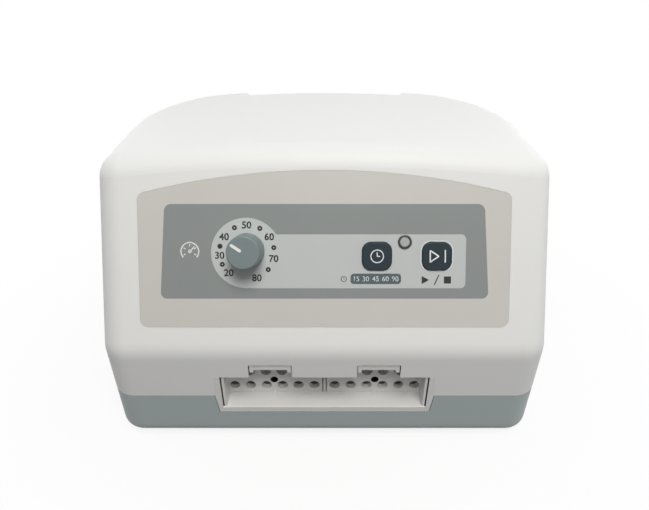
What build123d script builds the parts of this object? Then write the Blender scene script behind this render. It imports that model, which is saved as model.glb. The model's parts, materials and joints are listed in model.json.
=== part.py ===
from build123d import *
import os
from math import cos, sin, tan, radians, pi

# Compression therapy pump: a desk unit with a dial and keys on a sloping face, two sockets of twelve air
# ports in its front wall, and an air compressor, a rotary air valve and their boards inside.
# Millimetres. X to the unit's left-hand side as it faces -Y, Z up, origin under the middle of its box.

# ---------------------------------------------------------------- driving dimensions: case
WIDTH = 272.0            # across the side walls
DEPTH = 190.0            # front wall to rear wall
HEIGHT = 181.2           # feet to the middle of the top
WALL = 2.8               # moulded wall
FACE_TILT = 28.0         # how far the control face leans back from upright, degrees
CREASE_Z = 74.4          # where the upright front wall meets the control face
CREASE_RADIUS = 20.0     # soft bend between front wall and control face
BROW_RADIUS = 18.0       # soft bend between control face and top
CROWN_RADIUS = 1420.0    # gentle arch of the top from side to side
REAR_CORNER = 70.0       # plan radius of the two rear corners
EDGE_RADIUS = 16.0       # side edges, front corners and rear top edge
BOTTOM_RADIUS = 9.0      # edge under the base
FOOT_HEIGHT = 2.2        # rubber foot below the base
SEAM_Z = 38.7            # joint line between upper housing and base tray
SEAM_GAP = 0.2           # clearance of the locating rim in the seam
RIM_THICK = 1.4          # locating rim of the base tray
RIM_HEIGHT = 3.0
RIM_ROOT = 5.0           # how far the rim reaches down the tray wall
FIT = 0.25               # running clearance of keys and drop-in parts
SNUG = 0.05              # clearance of a part pressed or screwed in

# ---------------------------------------------------------------- driving dimensions: control face
OVERLAY_THICK = 0.6      # printed film over the control face
OVERLAY_PROUD = 0.1
OVERLAY_IN = 26.8        # film's side edge in from the side wall
OVERLAY_LOW = 15.9       # measured up the face from the crease
OVERLAY_SIDE_TOP = 94.5
OVERLAY_ARC_RADIUS = 440.0
OVERLAY_CORNER = 5.0
DIAL_X = -45.6
DIAL_T = 61.3
KNOB_RADIUS = 9.5
KNOB_SKIRT_RADIUS = 10.5
KNOB_HEIGHT = 15.5
KNOB_LIFT = 0.7          # gap between knob and overlay
KNOB_REST_ANGLE = 57.0   # pointer position left of upright at rest, degrees
KNOB_EDGE = 1.0
KNOB_WALL = 2.4          # knob's rim round the hollow in its underside
KNOB_HOLLOW = 2.0
KNOB_CAP = 3.0           # solid above the shaft's bore
KNOB_SHAFT_GAP = 1.0     # shaft's end to the bore's end
SET_SCREW_HIGH = 5.0     # above the knob's underside
SET_SCREW_SUNK = 0.6
SET_SCREW_HEX = (0.8, 1.1)       # radius and depth of its socket
POINTER_WIDTH = 1.7
POINTER_LENGTH = 7.2
POINTER_DEPTH = 0.8
POT_SHAFT_RADIUS = 3.0
POT_SIZE = 16.0
POT_HEIGHT = 7.0
POT_BUSHING_RADIUS = 3.5
SET_SCREW_RADIUS = 1.5
KEY_WIDE = 17.4
KEY_HIGH = 16.6
KEY_CORNER = 5.4
KEY_EDGE = 0.7
KEY_WALL = 2.0           # round the hollow under the cap
KEY_STEM = 2.5           # radius of the stem that meets the switch
KEY_PROUD = 1.6
KEY_BODY = 7.4           # key cap from top to underside
KEY_FLANGE = 1.6         # retaining flange beyond the cap
KEY_FLANGE_THICK = 1.0
KEY_FLANGE_GAP = 0.4     # flange to the inside of the wall
KEY_TRAVEL = 1.2
TIME_KEY_X = 30.8
START_KEY_X = 66.0
KEY_T = 58.2
SWITCH_SIZE = 6.2
LAMP_X = 47.1
LAMP_T = 66.5
LAMP_OUTER = 4.1
LAMP_INNER = 3.0
LAMP_PROUD = 0.9
WINDOW_X = 30.2
WINDOW_T = 44.75
WINDOW_LENGTH = 29.6
WINDOW_WIDTH = 6.1
WINDOW_CORNER = 1.9
BOARD_DEPTH = 12.0       # component side of the control board below the face
BOARD_THICK = 1.6
BOARD_HALF = 92.0
BOARD_LOW = 30.0
BOARD_HIGH = 92.0
POST_RADIUS = 3.6
POST_X = 86.0
POST_MARGIN = 6.0        # post centre in from the board's lower and upper edge
CHIP = (14.0, 2.0)
CONTROL_PLUG_IN = 8.0    # socket for the signal cable, down from the board's upper edge
CONTROL_PLUG_HIGH = 6.0

# ---------------------------------------------------------------- driving dimensions: air sockets
FRAME_TOP = 67.7         # half width of the white socket frame at its top
FRAME_SEAM = 69.1        # at the seam
FRAME_FOOT = 67.3        # and at its foot
FRAME_LOW = 24.0
FRAME_GAP = 0.45         # shadow gap to the base tray and beside the latch bars
FRAME_TOP_GAP = 0.15
MOUTH_HALF = 65.0        # opening of the frame
MOUTH_LOW = 28.0
MOUTH_HIGH = 54.5
NOTCH_WIDTH = 26.6       # latch notch above each socket
NOTCH_HIGH = 64.6
NOTCH_X = 33.2
SOCKET_X = 32.8          # middle of each socket from the unit's middle
PORT_PITCH = 10.45
PORT_ROW_GAP = 12.3
PORT_LOW_Z = 34.2
PORT_RADIUS = 3.4
PORT_COLUMNS = 6
PORT_RECESS = 13.5       # port face behind the front wall
INDEX_Z = 39.1           # guide hole of each socket
INDEX_RADIUS = 2.5
INDEX_DEPTH = 9.0
BLOCK_THICK = 11.5
BLOCK_HIGH = 67.0
FIN_HALF = 0.85          # frame's rib between the two blocks
FIN_GAP = 0.4
FIN_DEPTH = 4.0
CHEEK = 1.6
CHEEK_IN = 0.7           # cheek's gap to the frame
CHEEK_BACK = 1.0         # cheek's front edge behind the front wall's face
CHEEK_HIGH = 4.0         # above the mouth
SHELF = 1.8
SHELF_DROP = 0.2         # floor below the frame's lower edge
RIB = (0.6, 2.6, 1.2)    # locating ribs at the back of the floor: width, reach, height
LATCH_THICK = 2.0
LATCH_IN = 0.6           # latch bar behind the front wall's face
LATCH_BAR = 4.1
LATCH_LEG = 2.4
LATCH_LEG_LENGTH = 6.2
LATCH_ARM = 1.6
SEAL_THICK = 1.0
SEAL_BORE = 1.7
SEAL_DEPTH = 5.0
GASKET_THICK = 1.0
GALLERY_THICK = 11.0
GALLERY_LOW = 29.0
GALLERY_HIGH = 54.0
BARB_RADIUS = 2.3
BARB_LENGTH = 8.0
BARB_BORE = 1.2
HOSE_RADIUS = 3.5
HOSE_CLEAR = 0.08

# ---------------------------------------------------------------- driving dimensions: inside
PLATE_Z = 14.0           # underside of the chassis plate
PLATE_THICK = 1.5
PLATE_CLEAR = 3.0        # plate's edge to the relief valve
PLATE_CORNER = 22.0
PLATE_FRONT = -54.0
PLATE_BACK = 70.0
PLATE_POST_IN = 10.0     # in from the plate's edge
PLATE_POST_Y = (-46.0, 30.0)
PLATE_POST_RADIUS = 4.5
SCREW_RADIUS = 1.6
SCREW_HEAD = 3.2
SCREW_HEAD_HIGH = 2.2
SCREW_LENGTH = 8.0
CASE_SCREW_IN = 17.0     # in from the side wall
CASE_SCREW_Y = (-76.0, 44.0)
CASE_POST_RADIUS = 5.0
CASE_SCREW_RADIUS = 1.9
CASE_SCREW_HEAD = 3.4
CASE_SCREW_LENGTH = 44.0
CASE_SCREW_DEPTH = 6.0   # head sunk up into the base
FOOT_RADIUS = 8.0
FOOT_IN = 32.0
FOOT_Y = (-70.0, 52.0)
FOOT_SEAT = 1.2

PUMP_IN = 76.0           # compressor's middle in from the side wall
PUMP_Y = -8.0
PUMP_AXIS_Z = 56.0
PUMP_BLOCK = (44.0, 62.0, 50.0)
PUMP_BASE = (94.0, 70.0, 3.0)
PUMP_BORE = 11.0
PUMP_CORNER = 5.0
ARMATURE_RADIUS = 9.0
ARMATURE_ROD = 4.0
ARMATURE_HALF = 13.0
ARMATURE_STROKE = 1.5    # each way from rest
ROD_END = 3.0            # rod beyond each diaphragm
HEAD_CAVITY = 14.0
HEAD_RADIUS = 23.0
HEAD_THICK = 14.0
DIAPHRAGM_THICK = 1.4
HEAD_BARB = 3.4
HEAD_BARB_HIGH = 9.0
SUPPLY_BARB_IN = 6.0     # barb on the valve cover, in from its corner
SUPPLY_RISE = 38.0       # top of the supply hose above the compressor's head
SUPPLY_BEND = 16.0
SUPPLY_WALL = 1.2
END_GAP = 0.1            # hose or lead end short of what it meets
ISOLATOR_RADIUS = 6.5
ISOLATOR_HEIGHT = 10.0
ISOLATOR_WAIST = (4.0, 2.0, 1.5)  # groove: above the plate, width, depth
ISOLATOR_X = 40.0
ISOLATOR_Y = 28.0
COIL_SIZE = (34.0, 44.0, 16.0)
COIL_CORNER = 6.0

VALVE_X = -50.0
VALVE_Y = 8.0
VALVE_FRONT = -28.0
VALVE_HALF = 36.0
VALVE_BACK = 44.0
VALVE_LOW = 28.0
VALVE_HIGH = 58.0
VALVE_CORNER = 6.0
VALVE_LEG_IN = 5.0
ROTOR_RADIUS = 28.0
ROTOR_THICK = 6.0
ROTOR_CLEAR = 0.3
ROTOR_SHAFT = 5.0
ROTOR_PORT = (19.6, 3.0) # air port in the rotor: from its axis, radius
SHAFT_CLEAR = 0.05
COVER_THICK = 4.0
GEAR_MODULE = 1.0
GEAR_TEETH = 48
PINION_TEETH = 12
GEAR_THICK = 5.0
GEAR_LIFT = 4.0
BRACKET_LIFT = 12.0
BRACKET_THICK = 2.0
BRACKET_FRONT = 20.0     # bracket's front edge behind the valve's
BRACKET_EAR = (14.0, 24.0)
BRACKET_POST = (6.0, 3.2)        # in from the valve's side, radius
BRACKET_HOLE = 1.5       # round the motor's shaft
MOTOR_RADIUS = 15.0
MOTOR_HEIGHT = 24.0
MOTOR_SHAFT = 2.0
LEG_RADIUS = 4.0

RELIEF_IN = 18.0         # valve axis in from the outer side wall
RELIEF_Y = 0.0
RELIEF_RADIUS = 7.0
RELIEF_HEIGHT = 26.0
RELIEF_BORE = 4.0
RELIEF_STEM = 2.0
RELIEF_LIFT = 2.0        # travel of the plunger
RELIEF_SEAT = 8.0        # solid bottom below the bore
RELIEF_PORT_HIGH = 5.0   # inlet barb above the floor
RELIEF_BARB = 7.0        # inlet barb beyond the body

POWER_IN = 81.0
POWER_Y = 52.0
POWER_SIZE = (92.0, 32.0, 1.6)
STANDOFF_RADIUS = 2.6
STANDOFF_HEIGHT = 6.0
STANDOFF_IN = 4.0
TRANSFORMER = (36.0, 26.0, 24.0)
TRANSFORMER_IN = 20.0    # transformer's middle from the board's middle
TRANSFORMER_COIL = (8.0, 2.0, 3.0, 3.0)  # coil: in from the core's ends, proud, below its top, corner
CAN = (30.0, 4.0, 6.0, 16.0)      # capacitor: from the board's middle, radius, height
MAINS_PLUG = (12.0, 10.0, 16.0, 8.0, 9.0)    # socket for the mains leads: place, then size
SIGNAL_PLUG = (41.0, 8.0, 8.0, 10.0, 7.0)    # socket for the signal cable: place, then size
SIGNAL_RADIUS = 2.2
SIGNAL_RUN_Z = 130.0     # height of the cable's level run, over the supply hose
LEAD_RADIUS = 1.3
LEAD_SPREAD = 2.5        # half the distance between the two mains leads
LEAD_OUT = 12.0          # straight run behind the inlet
LEAD_DROP = (6.0, 8.0)   # below the inlet's middle, then down again
LEAD_BEND = 5.0

# ---------------------------------------------------------------- driving dimensions: rear
INLET_EDGE = 21.0        # inlet's middle in from the start of the rear corner
INLET_Z = 72.0
INLET_WIDTH = 27.0
INLET_HIGH = 30.0
INLET_DEPTH = 24.0
INLET_FLANGE = 3.0
FLANGE_CORNER = 2.5
FLANGE_THICK = 2.0
SOCKET_WIDTH = 22.5
SOCKET_HIGH = 14.5
SOCKET_DEPTH = 17.0
SOCKET_CORNER = 1.5
SOCKET_RAISE = 4.5       # socket above the inlet's middle
PIN_SIZE = (4.0, 2.0, 12.0)
PIN_SPREAD = 7.0
PIN_RAISE = (2.5, -1.5)  # middle and outer pins above the socket's middle
DRAWER_WIDTH = 20.0
DRAWER_HIGH = 6.4
DRAWER_DEPTH = 18.0
DRAWER_DROP = 8.8        # drawer below the inlet's middle
DRAWER_WALL = 1.5
DRAWER_GRIP = 4.0        # half length of the finger lip
DRAWER_LIP = 1.2         # finger lip, the rearmost point of the unit
SWITCH_OFFSET = 33.0     # switch's middle from the inlet's middle
SWITCH_WIDTH = 13.0
SWITCH_HIGH = 19.2
SWITCH_DEPTH = 18.0
ROCKER_SWING = 12.0
ROCKER_PIVOT_IN = 4.0    # trunnions below the rear wall's skin
TRUNNION_RADIUS = 1.1
SWITCH_WALL = 1.2
VENT_EDGE = 1.8          # filter frame in from the start of the rear corner
VENT_GAP = 11.8          # filter frame to the switch flange
SWITCH_FLANGE = 1.5
SWITCH_CORNER = 1.5
SWITCH_FLOOR = 4.0
ROCKER_ROOM = 0.6        # rocker's end to its well, on top of the fit
ROCKER_KEEL = (5.0, 3.0) # foot below the pivot: depth, half length
ROCKER_DISH = 1.6
ROCKER_LOW = 0.4         # rocker's ends below the flange
TRUNNION_SHORT = 0.2
VENT_Z = 78.0
VENT_PITCH = 5.6
VENT_SLOT = 2.6
VENT_LENGTH = 40.0
FILTER_THICK = 4.0
FILTER_FRAME = 3.0
FILTER_BACK = 1.5        # frame behind the pad
FILTER_BARS = 4
FILTER_PITCH = 10.0
FILTER_SLOT = (5.0, 7.0) # openings in the frame's back: in from its side, height
GRIP_HALF = 52.0
GRIP_DROP = 24.2         # hand-hold's upper edge below the top
GRIP_TALL = 31.0
GRIP_DEPTH = 27.0
GRIP_WALL = 2.2
GRIP_LIP = 3.0
GRIP_LIP_THICK = 1.2
GRIP_CORNER = 8.0
SCOOP_HALF = 62.0        # half length of the scooped hand-hold on the top rear edge
SCOOP_DEPTH = 1.6        # at the middle
SCOOP_ARCH = 1050.0      # radius of its arched floor
SCOOP_ANGLE = 18.0
SCOOP_CORNER = 6.0
SCOOP_TOOL = (60.0, 20.0)        # length and height of the shape that cuts the scoop
SCOOP_PAD = (22.0, 2.4)          # extra wall inside it: reach from the edge, thickness

# ---------------------------------------------------------------- worked out
HALF = WIDTH / 2
Y_FRONT = -(DEPTH + FLANGE_THICK + DRAWER_LIP) / 2
Y_BACK = Y_FRONT + DEPTH
TILT = radians(FACE_TILT)
FLOOR_Z = FOOT_HEIGHT + WALL
FACE = Plane(origin=(0, Y_FRONT, CREASE_Z), x_dir=(1, 0, 0), z_dir=(0, -cos(TILT), sin(TILT)))
PORT_Y = Y_FRONT + PORT_RECESS
BLOCK_BACK = PORT_Y + BLOCK_THICK
GALLERY_Y = BLOCK_BACK + GASKET_THICK
GALLERY_BACK = GALLERY_Y + GALLERY_THICK
PLATE_TOP = PLATE_Z + PLATE_THICK
KNOB_TOP = OVERLAY_PROUD + KNOB_LIFT + KNOB_HEIGHT
KEY_UNDER = KEY_PROUD - KEY_BODY
COVER_Z = VALVE_HIGH + COVER_THICK
GEAR_Z = COVER_Z + GEAR_LIFT
BRACKET_Z = COVER_Z + BRACKET_LIFT
MOTOR_Z = BRACKET_Z + BRACKET_THICK
GEAR_CENTRES = GEAR_MODULE * (GEAR_TEETH + PINION_TEETH) / 2
PINION_Y = VALVE_Y + GEAR_CENTRES
HUGE = 600.0
OVERLAY_HALF = HALF - OVERLAY_IN
CASE_SCREW_X = HALF - CASE_SCREW_IN
FOOT_X = HALF - FOOT_IN
PUMP_X = HALF - PUMP_IN
POWER_X = HALF - POWER_IN
RELIEF_X = -(HALF - RELIEF_IN)
PLATE_HALF = -RELIEF_X - RELIEF_RADIUS - PLATE_CLEAR
PLATE_POST_X = PLATE_HALF - PLATE_POST_IN
INLET_X = HALF - REAR_CORNER - INLET_EDGE
SWITCH_X = INLET_X - SWITCH_OFFSET
GRIP_HIGH = HEIGHT - GRIP_DROP
GRIP_LOW = GRIP_HIGH - GRIP_TALL
VENT_LEFT = -(HALF - REAR_CORNER - VENT_EDGE)
VENT_ROOM = SWITCH_X - SWITCH_WIDTH / 2 - SWITCH_FLANGE - VENT_GAP - VENT_LEFT - 2 * FILTER_FRAME
VENT_SLOTS = int(VENT_ROOM / VENT_PITCH + 0.01)
VENT_X = VENT_LEFT + FILTER_FRAME + VENT_PITCH * VENT_SLOTS / 2


# ---------------------------------------------------------------- helpers
def near(value, target, tolerance=0.6):
    return abs(value - target) < tolerance


def block(x0, x1, y0, y1, z0, z1):
    """A box given by its two corners."""
    middle = Pos((x0 + x1) / 2, (y0 + y1) / 2, (z0 + z1) / 2)
    return middle * Box(abs(x1 - x0), abs(y1 - y0), abs(z1 - z0))


def rod_z(x, y, z0, z1, radius):
    return Pos(x, y, (z0 + z1) / 2) * Cylinder(radius, z1 - z0)


def rod_y(x, z, y0, y1, radius):
    return Pos(x, (y0 + y1) / 2, z) * Rot(90, 0, 0) * Cylinder(radius, y1 - y0)


def rod_x(y, z, x0, x1, radius):
    return Pos((x0 + x1) / 2, y, z) * Rot(0, 90, 0) * Cylinder(radius, x1 - x0)


def on_face(x, t, n=0.0):
    """A place on the control face: x across, t up the slope from the crease, n outwards."""
    return FACE.location * Pos(x, t, n)


def face_rod(x, t, n0, n1, radius):
    return on_face(x, t, (n0 + n1) / 2) * Cylinder(radius, n1 - n0)


def face_pad(x, t, n0, n1, width, high, corner):
    """A rounded rectangular pad standing on the control face."""
    outline = RectangleRounded(width, high, corner)
    return on_face(x, t, n0) * extrude(outline, amount=n1 - n0)


def joined(pieces):
    """Separate or touching solids gathered into one shape."""
    total = pieces[0]
    for piece in pieces[1:]:
        total = total + piece
    return total


def group(solids):
    """Separate solids that stay separate, kept in one node."""
    return Compound(children=[Compound(piece.solids()) for piece in solids])


def port_places(socket_x):
    """The twelve port places of one socket, lower row first."""
    first = socket_x - PORT_PITCH * (PORT_COLUMNS - 1) / 2
    rows = (PORT_LOW_Z, PORT_LOW_Z + PORT_ROW_GAP)
    return [(first + PORT_PITCH * column, z) for z in rows for column in range(PORT_COLUMNS)]


# ---------------------------------------------------------------- case form
def profile_points(inset):
    """Side view of the case, drawn in by inset from the outer skin."""
    front = Y_FRONT + inset
    back = Y_BACK - inset
    low = FOOT_HEIGHT + inset
    plane_y = Y_FRONT + inset * cos(TILT)
    plane_z = CREASE_Z - inset * sin(TILT)
    crease = plane_z + inset * (1 - cos(TILT)) / tan(TILT)
    above = HEIGHT + WALL
    top_y = plane_y + (above - plane_z) * tan(TILT)
    return [(front, low), (front, crease), (top_y, above), (back, above), (back, low)]


def case_form(inset):
    """The whole closed outer form of the case, shrunk by inset."""
    points = profile_points(inset)
    (front, low), (_, crease) = points[0], points[1]
    back = points[3][0]
    half = HALF - inset
    form = extrude(Plane.YZ * make_face(Polyline(*points, close=True)), amount=half, both=True)
    crown = Pos(0, 0, HEIGHT - CROWN_RADIUS) * Rot(90, 0, 0) * Cylinder(CROWN_RADIUS - inset, HUGE)
    form = form & crown
    bend = [e for e in form.edges() if near(e.center().X, 0) and near(e.center().Y, front)
            and near(e.center().Z, crease)]
    form = fillet(bend, CREASE_RADIUS - inset)
    brow = [e for e in form.edges() if near(e.center().X, 0) and e.length > half
            and e.center().Z > (crease + HEIGHT) / 2 and e.center().Y < 0]
    form = fillet(brow, BROW_RADIUS - inset)
    corners = [e for e in form.edges().filter_by(Axis.Z) if near(e.center().Y, back)]
    form = fillet(corners, REAR_CORNER - inset)
    form = fillet(rim_edges(form, front, back, low), EDGE_RADIUS - inset)
    under = [e for e in form.edges() if near(e.center().Z, low, 0.1)]
    return fillet(under, BOTTOM_RADIUS - inset)


def rim_edges(form, front, back, low):
    """The one smooth run of edges up the front corners, over the sides and round the rear."""
    run = []
    for edge in form.edges():
        middle = edge.center()
        upright = edge.geom_type == GeomType.LINE and abs(edge.tangent_at(0.5).Z) > 0.99
        across = near(middle.X, 0) and middle.Y < back - EDGE_RADIUS / 2
        if middle.Z > low + 0.5 and not across and (not upright or near(middle.Y, front)):
            run.append(edge)
    return run


OUTER = case_form(0)
INNER = case_form(WALL)
ABOVE_SEAM = block(-HUGE, HUGE, -HUGE, HUGE, SEAM_Z, HUGE)
BELOW_SEAM = block(-HUGE, HUGE, -HUGE, HUGE, -HUGE, SEAM_Z)


def case_post_places():
    return [(side * CASE_SCREW_X, y) for side in (-1, 1) for y in CASE_SCREW_Y]


def plate_post_places():
    return [(x, y) for x in (-PLATE_POST_X, 0, PLATE_POST_X) for y in PLATE_POST_Y]


def board_post_places():
    return [(side * POST_X, t) for side in (-1, 1)
            for t in (BOARD_LOW + POST_MARGIN, BOARD_HIGH - POST_MARGIN)]


def foot_places():
    return [(side * FOOT_X, y) for side in (-1, 1) for y in FOOT_Y]


# ---------------------------------------------------------------- control overlay outline
def overlay_outline(grow):
    """Film outline with an arched top edge, grown by a clearance."""
    half = OVERLAY_HALF + grow
    low = OVERLAY_LOW - grow
    side = OVERLAY_SIDE_TOP + grow
    rise = OVERLAY_ARC_RADIUS - (OVERLAY_ARC_RADIUS ** 2 - OVERLAY_HALF ** 2) ** 0.5
    edges = [Line((-half, side), (-half, low)), Line((-half, low), (half, low)),
             Line((half, low), (half, side)),
             ThreePointArc((half, side), (0, side + rise), (-half, side))]
    outline = make_face(Wire(edges))
    return fillet(outline.vertices(), OVERLAY_CORNER + grow)


def face_cuts(grow):
    """What passes through both the film and the housing face: shaft, keys, lamp and window."""
    deep = -2 * WALL
    high = WALL
    cuts = [face_rod(DIAL_X, DIAL_T, deep, high, POT_BUSHING_RADIUS + 1.0 + grow)]
    for x in (TIME_KEY_X, START_KEY_X):
        clear = FIT + grow
        cuts.append(face_pad(x, KEY_T, deep, high, KEY_WIDE + 2 * clear, KEY_HIGH + 2 * clear,
                             KEY_CORNER + clear))
    cuts.append(face_rod(LAMP_X, LAMP_T, deep, high, LAMP_OUTER + SNUG + grow))
    cuts.append(face_pad(WINDOW_X, WINDOW_T, deep, high, WINDOW_LENGTH + 2 * (SNUG + grow),
                         WINDOW_WIDTH + 2 * (SNUG + grow), WINDOW_CORNER + grow))
    return cuts


# ---------------------------------------------------------------- housing
def upper_housing():
    shell = (OUTER - INNER) & ABOVE_SEAM
    reach, thick = SCOOP_PAD
    side = SCOOP_HALF + 2 * thick
    grip_pad = (INNER - case_form(WALL + thick)) & block(-side, side, Y_BACK - reach, Y_BACK, HEIGHT - reach,
                                                         HEIGHT)
    shell = shell + grip_pad
    posts = [face_rod(x, t, -BOARD_DEPTH, -WALL / 2, POST_RADIUS) for x, t in board_post_places()]
    for post in posts:
        shell = shell + post
    for x, y in case_post_places():
        top = SEAM_Z + 12
        post = rod_z(x, y, SEAM_Z, top, CASE_POST_RADIUS)
        web = block(min(x, sign(x) * HALF), max(x, sign(x) * HALF), y - 1, y + 1, SEAM_Z + 4, top)
        shell = shell + ((post + web) & OUTER)
    return shell - housing_cuts()


def sign(value):
    return 1 if value > 0 else -1


def housing_cuts():
    cuts = [on_face(0, 0, OVERLAY_PROUD - OVERLAY_THICK) * extrude(overlay_outline(FIT / 2), amount=WALL)]
    cuts += face_cuts(0)
    for x, t in board_post_places():
        cuts.append(face_rod(x, t, -BOARD_DEPTH - 1, -WALL - 1, SCREW_RADIUS + SNUG))
    for x, y in case_post_places():
        cuts.append(rod_z(x, y, SEAM_Z - 1, SEAM_Z + 10, CASE_SCREW_RADIUS + SNUG))
    front, inside = Y_FRONT - 1, Y_FRONT + WALL + 1
    cuts.append(frame_prism(SNUG, 0, front, inside))
    for x in (-NOTCH_X, NOTCH_X):
        cuts.append(block(x - NOTCH_WIDTH / 2, x + NOTCH_WIDTH / 2, front, inside, MOUTH_HIGH - 1,
                          NOTCH_HIGH))
    rear, behind = Y_BACK - WALL - 1, Y_BACK + 1
    cuts.append(block(INLET_X - INLET_WIDTH / 2 - FIT, INLET_X + INLET_WIDTH / 2 + FIT, rear, behind,
                      INLET_Z - INLET_HIGH / 2 - FIT, INLET_Z + INLET_HIGH / 2 + FIT))
    cuts.append(block(SWITCH_X - SWITCH_WIDTH / 2 - FIT, SWITCH_X + SWITCH_WIDTH / 2 + FIT, rear, behind,
                      INLET_Z - SWITCH_HIGH / 2 - FIT, INLET_Z + SWITCH_HIGH / 2 + FIT))
    for x in vent_places():
        cuts.append(block(x - VENT_SLOT / 2, x + VENT_SLOT / 2, rear, behind, VENT_Z - VENT_LENGTH / 2,
                          VENT_Z + VENT_LENGTH / 2))
    cuts.append(grip_prism(FIT / 2, Y_BACK - WALL - 1, Y_BACK + 1, 0))
    cuts.append(grip_prism(FIT / 2, Y_BACK - GRIP_LIP_THICK, Y_BACK + 1, GRIP_LIP))
    cuts.append(grip_scoop())
    return joined(cuts)


def vent_places():
    first = VENT_X - VENT_PITCH * (VENT_SLOTS - 1) / 2
    return [first + VENT_PITCH * index for index in range(VENT_SLOTS)]


def grip_prism(clear, y0, y1, grow):
    """Rounded-rectangle prism about the hand-hold opening in the rear wall."""
    width = 2 * (GRIP_HALF + grow + clear)
    high = GRIP_HIGH - GRIP_LOW + 2 * (grow + clear)
    outline = RectangleRounded(width, high, GRIP_CORNER + grow)
    middle = Pos(0, y1, (GRIP_LOW + GRIP_HIGH) / 2) * Rot(90, 0, 0)
    return middle * extrude(outline, amount=y1 - y0)


def grip_scoop():
    """Gentle arch scooped off the top rear edge where the fingers and palm close on it."""
    length, high = SCOOP_TOOL
    floor = EDGE_RADIUS - SCOOP_DEPTH
    side = floor - SCOOP_ARCH + (SCOOP_ARCH ** 2 - SCOOP_HALF ** 2) ** 0.5
    edges = [ThreePointArc((-SCOOP_HALF, side), (0, floor), (SCOOP_HALF, side)),
             Line((SCOOP_HALF, side), (SCOOP_HALF, floor + high)),
             Line((SCOOP_HALF, floor + high), (-SCOOP_HALF, floor + high)),
             Line((-SCOOP_HALF, floor + high), (-SCOOP_HALF, side))]
    outline = make_face(Wire(edges))
    outline = fillet(outline.vertices(), SCOOP_CORNER)
    place = Pos(0, Y_BACK - EDGE_RADIUS, HEIGHT - EDGE_RADIUS) * Rot(-SCOOP_ANGLE, 0, 0)
    return place * extrude(Plane.XZ * outline, amount=length / 2, both=True)


def base_tray():
    tray = (OUTER - INNER) & BELOW_SEAM
    band = block(-HUGE, HUGE, -HUGE, HUGE, SEAM_Z - RIM_ROOT, SEAM_Z + RIM_HEIGHT)
    inner_rim = case_form(WALL + SEAM_GAP + RIM_THICK)
    rim = (case_form(WALL + SEAM_GAP) - inner_rim) & band
    root = (case_form(WALL - 0.4) - inner_rim) & band & BELOW_SEAM
    tray = tray + (rim + root)
    for x, y in case_post_places():
        wide = block(x - CASE_POST_RADIUS - 1, x + CASE_POST_RADIUS + 1, y - CASE_POST_RADIUS - 1,
                     y + CASE_POST_RADIUS + 1, SEAM_Z, SEAM_Z + RIM_HEIGHT + 1)
        reach = block(min(x, sign(x) * HUGE), max(x, sign(x) * HUGE), y - 2, y + 2, SEAM_Z,
                      SEAM_Z + RIM_HEIGHT + 1)
        tray = tray - wide - reach
        tray = tray + (rod_z(x, y, FLOOR_Z - 1, SEAM_Z, CASE_POST_RADIUS) & OUTER)
    for x, y in plate_post_places():
        tray = tray + rod_z(x, y, FLOOR_Z - 1, PLATE_Z, PLATE_POST_RADIUS)
    return tray - base_cuts()


def base_cuts():
    cuts = []
    for x, y in case_post_places():
        cuts.append(rod_z(x, y, 0, SEAM_Z + 1, CASE_SCREW_RADIUS + SNUG))
        cuts.append(rod_z(x, y, 0, FOOT_HEIGHT + CASE_SCREW_DEPTH, CASE_SCREW_HEAD + SNUG))
    for x, y in plate_post_places():
        cuts.append(rod_z(x, y, PLATE_Z - SCREW_LENGTH, PLATE_Z + 1, SCREW_RADIUS + SNUG))
    for x, y in foot_places():
        cuts.append(rod_z(x, y, 0, FOOT_HEIGHT + FOOT_SEAT, FOOT_RADIUS + SNUG))
    cuts.append(frame_prism(FRAME_GAP, 0, Y_FRONT - 1, PORT_Y + 2))
    return joined(cuts)


def feet():
    return group([rod_z(x, y, 0, FOOT_HEIGHT + FOOT_SEAT, FOOT_RADIUS) for x, y in foot_places()])


def housing_screws():
    screws = []
    head_top = FOOT_HEIGHT + CASE_SCREW_DEPTH
    for x, y in case_post_places():
        head = rod_z(x, y, head_top - 2.4, head_top, CASE_SCREW_HEAD)
        shank = rod_z(x, y, head_top, head_top + CASE_SCREW_LENGTH - 6, CASE_SCREW_RADIUS)
        slot = block(x - 2.2, x + 2.2, y - 0.4, y + 0.4, head_top - 2.4, head_top - 1.2)
        screws.append(head + shank - slot - Pos(x, y, 0) * Rot(0, 0, 90) * Pos(-x, -y, 0) * slot)
    return group(screws)


# ---------------------------------------------------------------- control face pieces
def control_overlay():
    film = on_face(0, 0, OVERLAY_PROUD - OVERLAY_THICK) * extrude(overlay_outline(0), amount=OVERLAY_THICK)
    return film - joined(face_cuts(0))


def status_bezel():
    low, high = -WALL, OVERLAY_PROUD + LAMP_PROUD
    ring = face_rod(LAMP_X, LAMP_T, low, high, LAMP_OUTER)
    ring = fillet(ring.edges().sort_by_distance(on_face(LAMP_X, LAMP_T, high).position)[0:1], 0.5)
    return ring - face_rod(LAMP_X, LAMP_T, low - 1, high + 1, LAMP_INNER + SNUG)


def status_lens():
    low, high = -WALL, OVERLAY_PROUD + LAMP_PROUD - 0.3
    lens = face_rod(LAMP_X, LAMP_T, low, high, LAMP_INNER)
    return fillet(lens.edges().sort_by_distance(on_face(LAMP_X, LAMP_T, high).position)[0:1], 0.5)


def timer_window():
    return face_pad(WINDOW_X, WINDOW_T, -WALL, OVERLAY_PROUD, WINDOW_LENGTH, WINDOW_WIDTH, WINDOW_CORNER)


def knob_place():
    """Frame of the knob: local +Y along its pointer, local +Z outwards."""
    return on_face(DIAL_X, DIAL_T) * Rot(0, 0, KNOB_REST_ANGLE)


def upright_rod(low, high, radius):
    """A rod on the knob's axis, between two heights above the face."""
    return Pos(0, 0, (low + high) / 2) * Cylinder(radius, high - low)


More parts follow.
